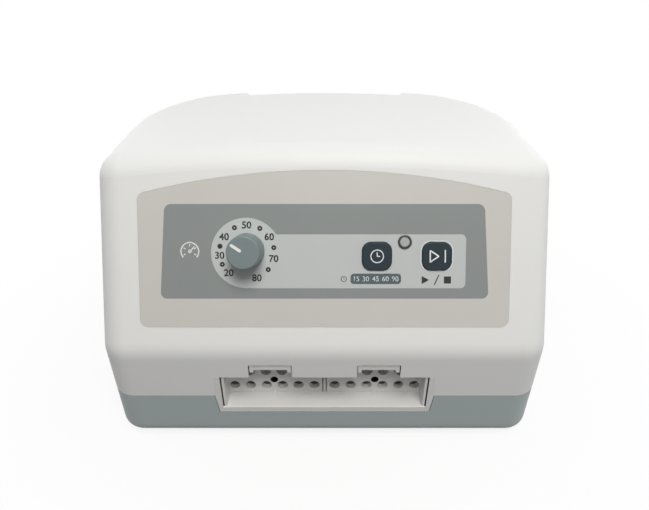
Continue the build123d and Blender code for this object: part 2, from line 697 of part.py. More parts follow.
def pressure_knob():
    low = OVERLAY_PROUD + KNOB_LIFT
    body = Pos(0, 0, low + KNOB_HEIGHT / 2) * Cone(KNOB_SKIRT_RADIUS, KNOB_RADIUS, KNOB_HEIGHT)
    body = fillet(body.edges().sort_by(Axis.Z)[-1:], KNOB_EDGE)
    bore = upright_rod(low - 1, KNOB_TOP - KNOB_CAP, POT_SHAFT_RADIUS + SNUG)
    hollow = upright_rod(low - 1, low + KNOB_HOLLOW, KNOB_RADIUS - KNOB_WALL)
    slot = pointer_blank(SNUG)
    screw_hole = Pos(0, -KNOB_SKIRT_RADIUS / 2, low + SET_SCREW_HIGH) * Rot(90, 0, 0) * Cylinder(
        SET_SCREW_RADIUS + SNUG, KNOB_SKIRT_RADIUS + 2)
    return knob_place() * (body - bore - hollow - slot - screw_hole)


def pointer_blank(grow):
    outline = SlotOverall(POINTER_LENGTH + 2 * grow, POINTER_WIDTH + 2 * grow)
    low = KNOB_TOP - POINTER_DEPTH - grow
    middle = KNOB_RADIUS - KNOB_EDGE - 0.2 - POINTER_LENGTH / 2
    return Pos(0, middle, low) * Rot(0, 0, 90) * extrude(outline, amount=POINTER_DEPTH + grow + 0.02)


def knob_pointer():
    return knob_place() * pointer_blank(0)


def knob_set_screw():
    height = OVERLAY_PROUD + KNOB_LIFT + SET_SCREW_HIGH
    start = POT_SHAFT_RADIUS + SNUG
    end = KNOB_RADIUS - SET_SCREW_SUNK
    screw = Pos(0, -(start + end) / 2, height) * Rot(90, 0, 0) * Cylinder(SET_SCREW_RADIUS, end - start)
    hex_radius, hex_deep = SET_SCREW_HEX
    hexagon = extrude(RegularPolygon(hex_radius, 6), amount=hex_deep + 0.1)
    socket = Pos(0, -end + hex_deep, height) * Rot(90, 0, 0) * hexagon
    return knob_place() * (screw - socket)


def pot_shaft():
    return knob_place() * upright_rod(-BOARD_DEPTH + 1.0, KNOB_TOP - KNOB_CAP - KNOB_SHAFT_GAP,
                                      POT_SHAFT_RADIUS)


def potentiometer():
    low = -BOARD_DEPTH
    body = face_pad(DIAL_X, DIAL_T, low, low + POT_HEIGHT, POT_SIZE, POT_SIZE, 1.5)
    bushing = face_rod(DIAL_X, DIAL_T, low + POT_HEIGHT, -0.5, POT_BUSHING_RADIUS + 0.6)
    bore = face_rod(DIAL_X, DIAL_T, low + 0.9, WALL, POT_SHAFT_RADIUS + SNUG)
    return body + bushing - bore


def key_cap(x):
    """Rounded key with a retaining flange behind the housing face."""
    cap = face_pad(x, KEY_T, KEY_UNDER, KEY_PROUD, KEY_WIDE, KEY_HIGH, KEY_CORNER)
    top = on_face(x, KEY_T, KEY_PROUD).position
    rim = [e for e in cap.edges() if abs((e.center() - top).dot(FACE.z_dir)) < 0.05]
    cap = fillet(rim, KEY_EDGE)
    flange_top = -WALL - KEY_FLANGE_GAP
    flange = face_pad(x, KEY_T, flange_top - KEY_FLANGE_THICK, flange_top, KEY_WIDE + 2 * KEY_FLANGE,
                      KEY_HIGH + 2 * KEY_FLANGE, KEY_CORNER)
    hollow = face_pad(x, KEY_T, KEY_UNDER, -WALL, KEY_WIDE - 2 * KEY_WALL, KEY_HIGH - 2 * KEY_WALL,
                      KEY_CORNER - KEY_WALL)
    stem = face_rod(x, KEY_T, KEY_UNDER, -WALL + 0.2, KEY_STEM)
    return cap + flange - hollow + stem


def key_switches():
    plunger_top = KEY_UNDER - KEY_TRAVEL - 0.2
    switches = []
    for x in (TIME_KEY_X, START_KEY_X):
        body = face_pad(x, KEY_T, -BOARD_DEPTH, -BOARD_DEPTH + 3.4, SWITCH_SIZE, SWITCH_SIZE, 0.6)
        switches.append(body + face_rod(x, KEY_T, -BOARD_DEPTH + 3.4, plunger_top, 1.7))
    return group(switches)


def timer_leds():
    step = WINDOW_LENGTH / 5
    lamps = [face_pad(WINDOW_X + step * (index - 2), WINDOW_T, -BOARD_DEPTH, -BOARD_DEPTH + 2, 3, 2, 0.4)
             for index in range(5)]
    lamps.append(face_rod(LAMP_X, LAMP_T, -BOARD_DEPTH, -WALL - 0.5, 1.5))
    return group(lamps)


def control_board():
    middle = (BOARD_LOW + BOARD_HIGH) / 2
    board = face_pad(0, middle, -BOARD_DEPTH - BOARD_THICK, -BOARD_DEPTH, 2 * BOARD_HALF,
                     BOARD_HIGH - BOARD_LOW, 2.0)
    for x, t in board_post_places():
        board = board - face_rod(x, t, -BOARD_DEPTH - BOARD_THICK - 1, -BOARD_DEPTH + 1,
                                 SCREW_RADIUS + 0.2)
    chip_top = -BOARD_DEPTH - BOARD_THICK
    chip = face_pad(0, middle, chip_top - CHIP[1], chip_top, CHIP[0], CHIP[0], 0.5)
    plug = face_pad(0, BOARD_HIGH - CONTROL_PLUG_IN, chip_top - CONTROL_PLUG_HIGH, chip_top, 22, 6, 0.5)
    return board + chip + plug


def board_screws():
    under = -BOARD_DEPTH - BOARD_THICK
    screws = []
    for x, t in board_post_places():
        head = face_rod(x, t, under - SCREW_HEAD_HIGH, under, SCREW_HEAD)
        screws.append(head + face_rod(x, t, under, under + SCREW_LENGTH, SCREW_RADIUS))
    return group(screws)


# ---------------------------------------------------------------- air sockets
def frame_prism(grow, lower, y0, y1):
    """Prism on the socket frame's outline: widest at the seam, narrower towards its foot."""
    top, low = MOUTH_HIGH - lower, FRAME_LOW - grow
    right = [(FRAME_FOOT + grow, low), (FRAME_SEAM + grow, SEAM_Z), (FRAME_TOP + grow, top)]
    left = [(-x, z) for x, z in reversed(right)]
    outline = make_face(Polyline(*right, *left, close=True))
    return Pos(0, y1, 0) * Rot(90, 0, 0) * extrude(outline, amount=y1 - y0)


def outlet_frame():
    """White frame of both sockets: strips and lip in the front wall, floor, cheeks and middle rib."""
    frame = frame_prism(0, FRAME_TOP_GAP, Y_FRONT, Y_FRONT + WALL)
    frame = frame - block(-MOUTH_HALF, MOUTH_HALF, Y_FRONT - 1, Y_FRONT + WALL + 1, MOUTH_LOW, MOUTH_HIGH + 1)
    floor_top = MOUTH_LOW - SHELF_DROP
    frame = frame + block(-MOUTH_HALF, MOUTH_HALF, Y_FRONT + WALL / 2, PORT_Y, floor_top - SHELF, floor_top)
    frame = frame + block(-FIN_HALF, FIN_HALF, PORT_Y - SHELF, PORT_Y + FIN_DEPTH, floor_top - SHELF, floor_top)
    frame = frame + block(-FIN_HALF, FIN_HALF, PORT_Y, PORT_Y + FIN_DEPTH, floor_top - SHELF,
                          MOUTH_HIGH + CHEEK_HIGH)
    outer = MOUTH_HALF - CHEEK_IN
    for x0, x1 in ((-outer, CHEEK - outer), (outer - CHEEK, outer)):
        frame = frame + block(x0, x1, Y_FRONT + CHEEK_BACK, PORT_Y, floor_top - SHELF / 2, MOUTH_HIGH - FIT)
        frame = frame + block(x0, x1, Y_FRONT + WALL + FIT, PORT_Y, floor_top, MOUTH_HIGH + CHEEK_HIGH)
    width, reach, high = RIB
    for socket_x in (-SOCKET_X, SOCKET_X):
        for step in (-2, 0, 2):
            x = socket_x + PORT_PITCH * step
            frame = frame + block(x - width / 2, x + width / 2, PORT_Y - reach, PORT_Y, floor_top - SHELF / 2,
                                  floor_top + high)
    return frame


def outlet_block(side):
    """Port block of one socket: a plate with two rows of ports and a guide hole."""
    socket_x = side * SOCKET_X
    inner, outer = FIN_HALF + FIN_GAP, MOUTH_HALF - CHEEK_IN
    x0, x1 = sorted((side * inner, side * outer))
    body = block(x0, x1, PORT_Y, BLOCK_BACK, MOUTH_LOW - SHELF_DROP - SHELF, BLOCK_HIGH)
    for x, z in port_places(socket_x):
        body = body - rod_y(x, z, PORT_Y - 1, PORT_Y + SEAL_DEPTH, PORT_RADIUS)
        body = body - rod_y(x, z, PORT_Y, BLOCK_BACK + 1, SEAL_BORE)
    return body - rod_y(socket_x, INDEX_Z, PORT_Y - 1, PORT_Y + INDEX_DEPTH, INDEX_RADIUS)


def port_seals():
    seals = []
    for socket_x in (-SOCKET_X, SOCKET_X):
        for x, z in port_places(socket_x):
            y0 = PORT_Y + SEAL_DEPTH - SEAL_THICK
            ring = rod_y(x, z, y0, PORT_Y + SEAL_DEPTH, PORT_RADIUS - 0.02)
            seals.append(ring - rod_y(x, z, y0 - 1, PORT_Y + SEAL_DEPTH + 1, SEAL_BORE))
    return group(seals)


def latch_bar(side):
    """Inverted-U keeper at the top of a latch notch, behind the front wall's face."""
    x = side * NOTCH_X
    half = NOTCH_WIDTH / 2 - FRAME_GAP
    y0, y1 = Y_FRONT + LATCH_IN, Y_FRONT + LATCH_IN + LATCH_THICK
    top = NOTCH_HIGH - FIT
    bar = block(x - half, x + half, y0, y1, top - LATCH_BAR, top)
    for edge in (-1, 1):
        leg = x + edge * (half - LATCH_LEG / 2)
        bar = bar + block(leg - LATCH_LEG / 2, leg + LATCH_LEG / 2, y0, y1, top - LATCH_LEG_LENGTH, top)
    arm = block(x - half + LATCH_LEG, x + half - LATCH_LEG, y1, PORT_Y, top - LATCH_BAR,
                top - LATCH_BAR + LATCH_ARM)
    return bar + arm


def gallery_gasket():
    sheet = block(-MOUTH_HALF, MOUTH_HALF, BLOCK_BACK, GALLERY_Y, GALLERY_LOW, GALLERY_HIGH)
    for socket_x in (-SOCKET_X, SOCKET_X):
        for x, z in port_places(socket_x):
            sheet = sheet - rod_y(x, z, BLOCK_BACK - 1, GALLERY_Y + 1, SEAL_BORE)
    return sheet


def gallery_plate():
    """Moulded plate whose channels join each port pair to one of twelve hose barbs."""
    plate = block(-VALVE_HALF + VALVE_X, MOUTH_HALF, GALLERY_Y, GALLERY_BACK, GALLERY_LOW, GALLERY_HIGH)
    for x, z in port_places(VALVE_X):
        plate = plate + rod_y(x, z, GALLERY_BACK, GALLERY_BACK + BARB_LENGTH, BARB_RADIUS)
        plate = plate - rod_y(x, z, GALLERY_BACK - 4, GALLERY_BACK + BARB_LENGTH + 1, BARB_BORE)
    for socket_x in (-SOCKET_X, SOCKET_X):
        for x, z in port_places(socket_x):
            plate = plate - rod_y(x, z, GALLERY_Y - 1, GALLERY_Y + 4, SEAL_BORE)
    return plate


def cell_hoses():
    hoses = []
    for x, z in port_places(VALVE_X):
        tube = rod_y(x, z, GALLERY_BACK + END_GAP, VALVE_FRONT - END_GAP, HOSE_RADIUS)
        hoses.append(tube - rod_y(x, z, GALLERY_BACK - 1, VALVE_FRONT + 1, BARB_RADIUS + HOSE_CLEAR))
    return group(hoses)


# ---------------------------------------------------------------- chassis
def chassis_plate():
    plate = block(-PLATE_HALF, PLATE_HALF, PLATE_FRONT, PLATE_BACK, PLATE_Z, PLATE_TOP)
    plate = fillet(plate.edges().filter_by(Axis.Z), PLATE_CORNER)
    for x, y in plate_post_places():
        plate = plate - rod_z(x, y, PLATE_Z - 1, PLATE_TOP + 1, SCREW_RADIUS + 0.2)
    return plate


def chassis_screws():
    screws = []
    for x, y in plate_post_places():
        head = rod_z(x, y, PLATE_TOP, PLATE_TOP + SCREW_HEAD_HIGH, SCREW_HEAD)
        screws.append(head + rod_z(x, y, PLATE_TOP - SCREW_LENGTH + 1, PLATE_TOP, SCREW_RADIUS))
    return group(screws)


# ---------------------------------------------------------------- compressor
PUMP_FOOT_Z = PLATE_TOP + ISOLATOR_HEIGHT
PUMP_BLOCK_TOP = PUMP_FOOT_Z + PUMP_BASE[2] + PUMP_BLOCK[2]
HEAD_GAP = PUMP_BLOCK[0] / 2


def isolator_places():
    return [(PUMP_X + sx * ISOLATOR_X, PUMP_Y + sy * ISOLATOR_Y) for sx in (-1, 1) for sy in (-1, 1)]


def compressor_isolators():
    mounts = []
    above, wide, deep = ISOLATOR_WAIST
    for x, y in isolator_places():
        waist = rod_z(x, y, PLATE_TOP, PUMP_FOOT_Z, ISOLATOR_RADIUS)
        low, high = PLATE_TOP + above, PLATE_TOP + above + wide
        groove = rod_z(x, y, low, high, ISOLATOR_RADIUS + 1)
        mounts.append(waist - (groove - rod_z(x, y, low - 1, high + 1, ISOLATOR_RADIUS - deep)))
    return group(mounts)


def compressor_body():
    wide, deep, thick = PUMP_BASE
    base = block(PUMP_X - wide / 2, PUMP_X + wide / 2, PUMP_Y - deep / 2, PUMP_Y + deep / 2, PUMP_FOOT_Z,
                 PUMP_FOOT_Z + thick)
    wide, deep, _ = PUMP_BLOCK
    body = block(PUMP_X - wide / 2, PUMP_X + wide / 2, PUMP_Y - deep / 2, PUMP_Y + deep / 2,
                 PUMP_FOOT_Z + thick, PUMP_BLOCK_TOP)
    body = fillet(body.edges().filter_by(Axis.X), PUMP_CORNER)
    bore = rod_x(PUMP_Y, PUMP_AXIS_Z, PUMP_X - wide, PUMP_X + wide, PUMP_BORE)
    return base + body - bore


def compressor_coils():
    wide, deep, high = COIL_SIZE
    coil = block(PUMP_X - wide / 2, PUMP_X + wide / 2, PUMP_Y - deep / 2, PUMP_Y + deep / 2,
                 PUMP_BLOCK_TOP, PUMP_BLOCK_TOP + high)
    return fillet(coil.edges().filter_by(Axis.X), COIL_CORNER)


def compressor_armature():
    reach = HEAD_GAP + DIAPHRAGM_THICK + ROD_END
    rod = rod_x(PUMP_Y, PUMP_AXIS_Z, PUMP_X - reach, PUMP_X + reach, ARMATURE_ROD)
    return rod + rod_x(PUMP_Y, PUMP_AXIS_Z, PUMP_X - ARMATURE_HALF, PUMP_X + ARMATURE_HALF, ARMATURE_RADIUS)


def compressor_diaphragms():
    discs = []
    for side in (-1, 1):
        x0, x1 = sorted((PUMP_X + side * HEAD_GAP, PUMP_X + side * (HEAD_GAP + DIAPHRAGM_THICK)))
        disc = rod_x(PUMP_Y, PUMP_AXIS_Z, x0, x1, HEAD_RADIUS)
        discs.append(disc - rod_x(PUMP_Y, PUMP_AXIS_Z, x0 - 1, x1 + 1, ARMATURE_ROD + SHAFT_CLEAR))
    return group(discs)


def compressor_heads():
    heads = []
    for side in (-1, 1):
        near_x = PUMP_X + side * (HEAD_GAP + DIAPHRAGM_THICK)
        x0, x1 = sorted((near_x, near_x + side * HEAD_THICK))
        head = rod_x(PUMP_Y, PUMP_AXIS_Z, x0, x1, HEAD_RADIUS)
        c0, c1 = sorted((near_x - side, near_x + side * (ROD_END + 2 * ARMATURE_STROKE)))
        head = head - rod_x(PUMP_Y, PUMP_AXIS_Z, c0, c1, HEAD_CAVITY)
        barb_x = near_x + side * HEAD_THICK / 2
        heads.append(head + rod_z(barb_x, PUMP_Y, PUMP_AXIS_Z + HEAD_RADIUS - 1,
                                  PUMP_AXIS_Z + HEAD_RADIUS + HEAD_BARB_HIGH, HEAD_BARB))
    return group(heads)


# ---------------------------------------------------------------- rotary air valve
def valve_leg_places():
    reach = VALVE_HALF - VALVE_LEG_IN
    return [(VALVE_X + sx * reach, VALVE_Y + sy * reach) for sx in (-1, 1) for sy in (-1, 1)]


def distributor_body():
    body = block(VALVE_X - VALVE_HALF, VALVE_X + VALVE_HALF, VALVE_FRONT, VALVE_BACK, VALVE_LOW,
                 VALVE_HIGH)
    body = fillet(body.edges().filter_by(Axis.Z), VALVE_CORNER)
    for x, y in valve_leg_places():
        body = body + rod_z(x, y, PLATE_TOP, VALVE_LOW, LEG_RADIUS)
    for x, z in port_places(VALVE_X):
        body = body + rod_y(x, z, VALVE_FRONT - BARB_LENGTH, VALVE_FRONT, BARB_RADIUS)
        body = body - rod_y(x, z, VALVE_FRONT - BARB_LENGTH - 1, VALVE_FRONT + 3, BARB_BORE)
    floor = VALVE_HIGH - ROTOR_THICK - 2 * ROTOR_CLEAR
    return body - rod_z(VALVE_X, VALVE_Y, floor, VALVE_HIGH + 1, ROTOR_RADIUS + ROTOR_CLEAR)


def distributor_rotor():
    low = VALVE_HIGH - ROTOR_THICK - ROTOR_CLEAR
    disc = rod_z(VALVE_X, VALVE_Y, low, low + ROTOR_THICK, ROTOR_RADIUS)
    port = rod_z(VALVE_X, VALVE_Y + ROTOR_PORT[0], low - 1, low + ROTOR_THICK + 1, ROTOR_PORT[1])
    return disc - port + rod_z(VALVE_X, VALVE_Y, low, GEAR_Z + GEAR_THICK + 1, ROTOR_SHAFT)


def distributor_cover():
    cover = block(VALVE_X - VALVE_HALF, VALVE_X + VALVE_HALF, VALVE_FRONT, VALVE_BACK, VALVE_HIGH, COVER_Z)
    cover = fillet(cover.edges().filter_by(Axis.Z), VALVE_CORNER)
    barb_x, barb_y = supply_barb()
    cover = cover + rod_z(barb_x, barb_y, COVER_Z, COVER_Z + HEAD_BARB_HIGH, HEAD_BARB)
    return cover - rod_z(VALVE_X, VALVE_Y, VALVE_HIGH - 1, COVER_Z + 1, ROTOR_SHAFT + SHAFT_CLEAR)


def supply_barb():
    return VALVE_X + VALVE_HALF - SUPPLY_BARB_IN, VALVE_FRONT + SUPPLY_BARB_IN


def gear_wheel(teeth, thick, bore):
    """Spur gear with slightly slim, straight-flanked teeth, one tooth pointing along +Y."""
    pitch = GEAR_MODULE * teeth / 2
    root = pitch - 1.2 * GEAR_MODULE
    tip = pitch + 0.8 * GEAR_MODULE
    half_root = 0.5 * GEAR_MODULE
    half_tip = 0.3 * GEAR_MODULE
    wheel = Circle(root)
    tooth = make_face(Polyline((-half_root, root - 0.4), (-half_tip, tip), (half_tip, tip),
                               (half_root, root - 0.4), close=True))
    for index in range(teeth):
        wheel = wheel + Rot(0, 0, 360 * index / teeth) * tooth
    return extrude(wheel - Circle(bore), amount=thick)


def rotor_gear():
    return Pos(VALVE_X, VALVE_Y, GEAR_Z) * gear_wheel(GEAR_TEETH, GEAR_THICK, ROTOR_SHAFT + SNUG / 5)


def motor_pinion():
    """Turned by half a tooth, so that a gap faces the wheel's tooth."""
    gear = gear_wheel(PINION_TEETH, GEAR_THICK, 0.9)
    gear = Pos(VALVE_X, PINION_Y, GEAR_Z) * Rot(0, 0, 180 + 180 / PINION_TEETH) * gear
    shaft = rod_z(VALVE_X, PINION_Y, GEAR_Z - 1, MOTOR_Z + 4, MOTOR_SHAFT)
    return gear + shaft


def bracket_post_places():
    reach = VALVE_HALF - BRACKET_POST[0]
    return [(VALVE_X - reach, VALVE_Y - reach), (VALVE_X - reach, VALVE_Y + reach),
            (VALVE_X + reach, VALVE_Y + reach)]


def motor_bracket():
    ear_wide, ear_deep = BRACKET_EAR
    plate = block(VALVE_X - VALVE_HALF, VALVE_X + VALVE_HALF, VALVE_FRONT + BRACKET_FRONT,
                  PINION_Y + MOTOR_RADIUS, BRACKET_Z, MOTOR_Z)
    plate = plate + block(VALVE_X - VALVE_HALF, VALVE_X - VALVE_HALF + ear_wide, VALVE_FRONT,
                          VALVE_FRONT + ear_deep, BRACKET_Z, MOTOR_Z)
    for x, y in bracket_post_places():
        plate = plate + rod_z(x, y, COVER_Z, BRACKET_Z, BRACKET_POST[1])
    return plate - rod_z(VALVE_X, PINION_Y, BRACKET_Z - 1, MOTOR_Z + 1, MOTOR_SHAFT + BRACKET_HOLE)


def gearmotor():
    body = rod_z(VALVE_X, PINION_Y, MOTOR_Z, MOTOR_Z + MOTOR_HEIGHT, MOTOR_RADIUS)
    body = fillet(body.edges().sort_by(Axis.Z)[-1:], 2)
    return body - rod_z(VALVE_X, PINION_Y, MOTOR_Z - 1, MOTOR_Z + 5, MOTOR_SHAFT + SHAFT_CLEAR)


def supply_hose():
    """From the compressor's left head over to the valve cover."""
    head_x = PUMP_X - HEAD_GAP - DIAPHRAGM_THICK - HEAD_THICK / 2
    barb_x, barb_y = supply_barb()
    start = (head_x, PUMP_Y, PUMP_AXIS_Z + HEAD_RADIUS + HEAD_BARB_HIGH + END_GAP)
    end = (barb_x, barb_y, COVER_Z + HEAD_BARB_HIGH + END_GAP)
    top = PUMP_AXIS_Z + HEAD_RADIUS + SUPPLY_RISE
    points = [start, (start[0], start[1], top), (end[0], end[1], top), end]
    path = Wire(FilletPolyline(*points, radius=SUPPLY_BEND).edges())
    profile = Plane(origin=start, z_dir=(0, 0, 1)) * Circle(HEAD_BARB + SUPPLY_WALL)
    return sweep(profile, path=path)


# ---------------------------------------------------------------- relief valve
def relief_valve_body():
    body = rod_z(RELIEF_X, RELIEF_Y, FLOOR_Z, FLOOR_Z + RELIEF_HEIGHT, RELIEF_RADIUS)
    body = body - rod_z(RELIEF_X, RELIEF_Y, FLOOR_Z + RELIEF_SEAT, FLOOR_Z + RELIEF_HEIGHT + 1, RELIEF_BORE)
    side = RELIEF_X + RELIEF_RADIUS
    return body + rod_x(RELIEF_Y, FLOOR_Z + RELIEF_PORT_HIGH, side - 0.5, side + RELIEF_BARB, BARB_RADIUS)


def relief_plunger():
    low = FLOOR_Z + RELIEF_SEAT + 0.1
    stem = rod_z(RELIEF_X, RELIEF_Y, low, FLOOR_Z + RELIEF_HEIGHT + 2 * RELIEF_LIFT, RELIEF_STEM)
    return stem + rod_z(RELIEF_X, RELIEF_Y, low, low + RELIEF_SEAT, RELIEF_BORE - SHAFT_CLEAR)


# ---------------------------------------------------------------- power side
def standoff_places():
    wide, deep, _ = POWER_SIZE
    return [(POWER_X + sx * (wide / 2 - STANDOFF_IN), POWER_Y + sy * (deep / 2 - STANDOFF_IN))
            for sx in (-1, 1) for sy in (-1, 1)]


BOARD_Z = PLATE_TOP + STANDOFF_HEIGHT


def board_standoffs():
    return group([rod_z(x, y, PLATE_TOP, BOARD_Z, STANDOFF_RADIUS) for x, y in standoff_places()])


def power_board():
    wide, deep, thick = POWER_SIZE
    top = BOARD_Z + thick
    board = block(POWER_X - wide / 2, POWER_X + wide / 2, POWER_Y - deep / 2, POWER_Y + deep / 2, BOARD_Z,
                  top)
    can_x, can_y, radius, high = CAN
    can = rod_z(POWER_X - can_x, POWER_Y - can_y, top, top + high, radius)
    return board + can + board_plug(MAINS_PLUG, -1) + board_plug(SIGNAL_PLUG, 1)


def board_plug(size, side):
    """Socket on the power board, toward its front (side -1) or rear (side 1) edge."""
    x, y, wide, deep, high = size
    top = BOARD_Z + POWER_SIZE[2]
    return block(POWER_X - x - wide / 2, POWER_X - x + wide / 2, POWER_Y + side * y - deep / 2,
                 POWER_Y + side * y + deep / 2, top, top + high)


def signal_cable():
    """Round cable from the control board, over the supply hose, down to the power board."""
    x, y, _, _, high = SIGNAL_PLUG
    start = on_face(0, BOARD_HIGH - CONTROL_PLUG_IN, -BOARD_DEPTH - BOARD_THICK - CONTROL_PLUG_HIGH - END_GAP)
    out = on_face(0, BOARD_HIGH - CONTROL_PLUG_IN, -BOARD_DEPTH - BOARD_THICK - 3 * CONTROL_PLUG_HIGH)
    end = (POWER_X - x, POWER_Y + y, BOARD_Z + POWER_SIZE[2] + high + END_GAP)
    points = [start.position, out.position, (0, end[1] / 3, SIGNAL_RUN_Z), (end[0], end[1], SIGNAL_RUN_Z - 10),
              end]
    path = Wire(FilletPolyline(*points, radius=3 * SIGNAL_RADIUS).edges())
    profile = Plane(origin=start.position, z_dir=-FACE.z_dir) * Circle(SIGNAL_RADIUS)
    return sweep(profile, path=path)


def transformer():
    wide, deep, high = TRANSFORMER
    low = BOARD_Z + POWER_SIZE[2]
    x = POWER_X + TRANSFORMER_IN
    core = block(x - wide / 2, x + wide / 2, POWER_Y - deep / 2 + 1, POWER_Y + deep / 2 - 1, low,
                 low + high)
    ends, proud, below, corner = TRANSFORMER_COIL
    coil = block(x - wide / 2 + ends, x + wide / 2 - ends, POWER_Y - deep / 2 - proud,
                 POWER_Y + deep / 2 + proud, low + below, low + high - below)
    return core + fillet(coil.edges().filter_by(Axis.Y), corner)


def inlet_opening(x, z):
    """Corner-cut socket outline of a mains inlet, seen from behind."""
    outline = RectangleRounded(SOCKET_WIDTH, SOCKET_HIGH, SOCKET_CORNER)
    return Pos(x, Y_BACK + FLANGE_THICK + 1, z) * Rot(90, 0, 0) * extrude(outline, amount=SOCKET_DEPTH + 1)


SOCKET_Z = INLET_Z + SOCKET_RAISE
DRAWER_Z = INLET_Z - DRAWER_DROP


def mains_inlet():
    half_w, half_h = INLET_WIDTH / 2, INLET_HIGH / 2
    body = block(INLET_X - half_w, INLET_X + half_w, Y_BACK - INLET_DEPTH, Y_BACK, INLET_Z - half_h,
                 INLET_Z + half_h)
    flange = block(INLET_X - half_w - INLET_FLANGE, INLET_X + half_w + INLET_FLANGE, Y_BACK,
                   Y_BACK + FLANGE_THICK, INLET_Z - half_h - INLET_FLANGE, INLET_Z + half_h + INLET_FLANGE)
    flange = fillet(flange.edges().filter_by(Axis.Y), FLANGE_CORNER)
    body = body + flange - inlet_opening(INLET_X, SOCKET_Z)
    drawer = block(INLET_X - DRAWER_WIDTH / 2 - FIT, INLET_X + DRAWER_WIDTH / 2 + FIT,
                   Y_BACK - DRAWER_DEPTH - FIT, Y_BACK + FLANGE_THICK + 1, DRAWER_Z - DRAWER_HIGH / 2 - FIT,
                   DRAWER_Z + DRAWER_HIGH / 2 + FIT)
    return body - drawer


def inlet_pins():
    wide, thick, length = PIN_SIZE
    floor = Y_BACK + FLANGE_THICK - SOCKET_DEPTH
    middle, outer = PIN_RAISE
    places = [(-PIN_SPREAD, outer), (0, middle), (PIN_SPREAD, outer)]
    return group([block(INLET_X + dx - thick / 2, INLET_X + dx + thick / 2, floor, floor + length,
                        SOCKET_Z + dz - wide / 2, SOCKET_Z + dz + wide / 2) for dx, dz in places])


def fuse_drawer():
    half_w, half_h = DRAWER_WIDTH / 2, DRAWER_HIGH / 2
    tray = block(INLET_X - half_w, INLET_X + half_w, Y_BACK - DRAWER_DEPTH, Y_BACK + FLANGE_THICK,
                 DRAWER_Z - half_h, DRAWER_Z + half_h)
    hollow = block(INLET_X - half_w + DRAWER_WALL, INLET_X + half_w - DRAWER_WALL,
                   Y_BACK - DRAWER_DEPTH + DRAWER_WALL, Y_BACK - FLANGE_THICK,
                   DRAWER_Z - half_h + DRAWER_WALL, DRAWER_Z + half_h + 1)
    lip = block(INLET_X - DRAWER_GRIP, INLET_X + DRAWER_GRIP, Y_BACK + FLANGE_THICK,
                Y_BACK + FLANGE_THICK + DRAWER_LIP, DRAWER_Z - half_h, DRAWER_Z - half_h + DRAWER_LIP)
    return tray - hollow + lip


def switch_frame():
    half_w, half_h = SWITCH_WIDTH / 2, SWITCH_HIGH / 2
    body = block(SWITCH_X - half_w, SWITCH_X + half_w, Y_BACK - SWITCH_DEPTH, Y_BACK, INLET_Z - half_h,
                 INLET_Z + half_h)
    flange = block(SWITCH_X - half_w - SWITCH_FLANGE, SWITCH_X + half_w + SWITCH_FLANGE, Y_BACK,
                   Y_BACK + FLANGE_THICK, INLET_Z - half_h - SWITCH_FLANGE, INLET_Z + half_h + SWITCH_FLANGE)
    flange = fillet(flange.edges().filter_by(Axis.Y), SWITCH_CORNER)
    well = block(SWITCH_X - half_w + SWITCH_WALL, SWITCH_X + half_w - SWITCH_WALL,
                 Y_BACK - SWITCH_DEPTH + SWITCH_FLOOR, Y_BACK + FLANGE_THICK + 1,
                 INLET_Z - half_h + SWITCH_WALL, INLET_Z + half_h - SWITCH_WALL)
    pivot = rod_x(Y_BACK - ROCKER_PIVOT_IN, INLET_Z, SWITCH_X - half_w - 1, SWITCH_X + half_w + 1,
                  TRUNNION_RADIUS + SHAFT_CLEAR)
    return body + flange - well - pivot


def power_rocker():
    """Rocker that tips about X, at rest with its lower end pressed in (off)."""
    half_w = SWITCH_WIDTH / 2 - SWITCH_WALL - FIT
    half_h = SWITCH_HIGH / 2 - SWITCH_WALL - FIT - ROCKER_ROOM
    keel_deep, keel_half = ROCKER_KEEL
    pivot = Y_BACK - ROCKER_PIVOT_IN
    face = Y_BACK + FLANGE_THICK - ROCKER_LOW
    points = [(pivot - keel_deep, -keel_half), (pivot - keel_deep, keel_half), (pivot, half_h), (face, half_h),
              (face - ROCKER_DISH, 0), (face, -half_h), (pivot, -half_h)]
    rocker = extrude(Plane.YZ * make_face(Polyline(*points, close=True)), amount=half_w, both=True)
    tilt = Pos(SWITCH_X, pivot, INLET_Z) * Rot(ROCKER_SWING / 2, 0, 0) * Pos(0, -pivot, 0)
    reach = SWITCH_WIDTH / 2 - TRUNNION_SHORT
    return tilt * rocker + rod_x(pivot, INLET_Z, SWITCH_X - reach, SWITCH_X + reach, TRUNNION_RADIUS)


def mains_leads():
    """Two insulated leads from the inlet down to the power board."""
    leads = []
    x, y, _, _, high = MAINS_PLUG
    for offset in (-LEAD_SPREAD, LEAD_SPREAD):
        start = (INLET_X + offset, Y_BACK - INLET_DEPTH - END_GAP, INLET_Z - LEAD_DROP[0])
        board_top = BOARD_Z + POWER_SIZE[2]
        end = (POWER_X - x + offset, POWER_Y - y, board_top + high + END_GAP)
        points = [start, (start[0], start[1] - LEAD_OUT, start[2]), (end[0], end[1], start[2] - LEAD_DROP[1]),
                  end]
        path = Wire(FilletPolyline(*points, radius=LEAD_BEND).edges())
        profile = Plane(origin=start, z_dir=(0, -1, 0)) * Circle(LEAD_RADIUS)
        leads.append(sweep(profile, path=path))
    return group(leads)


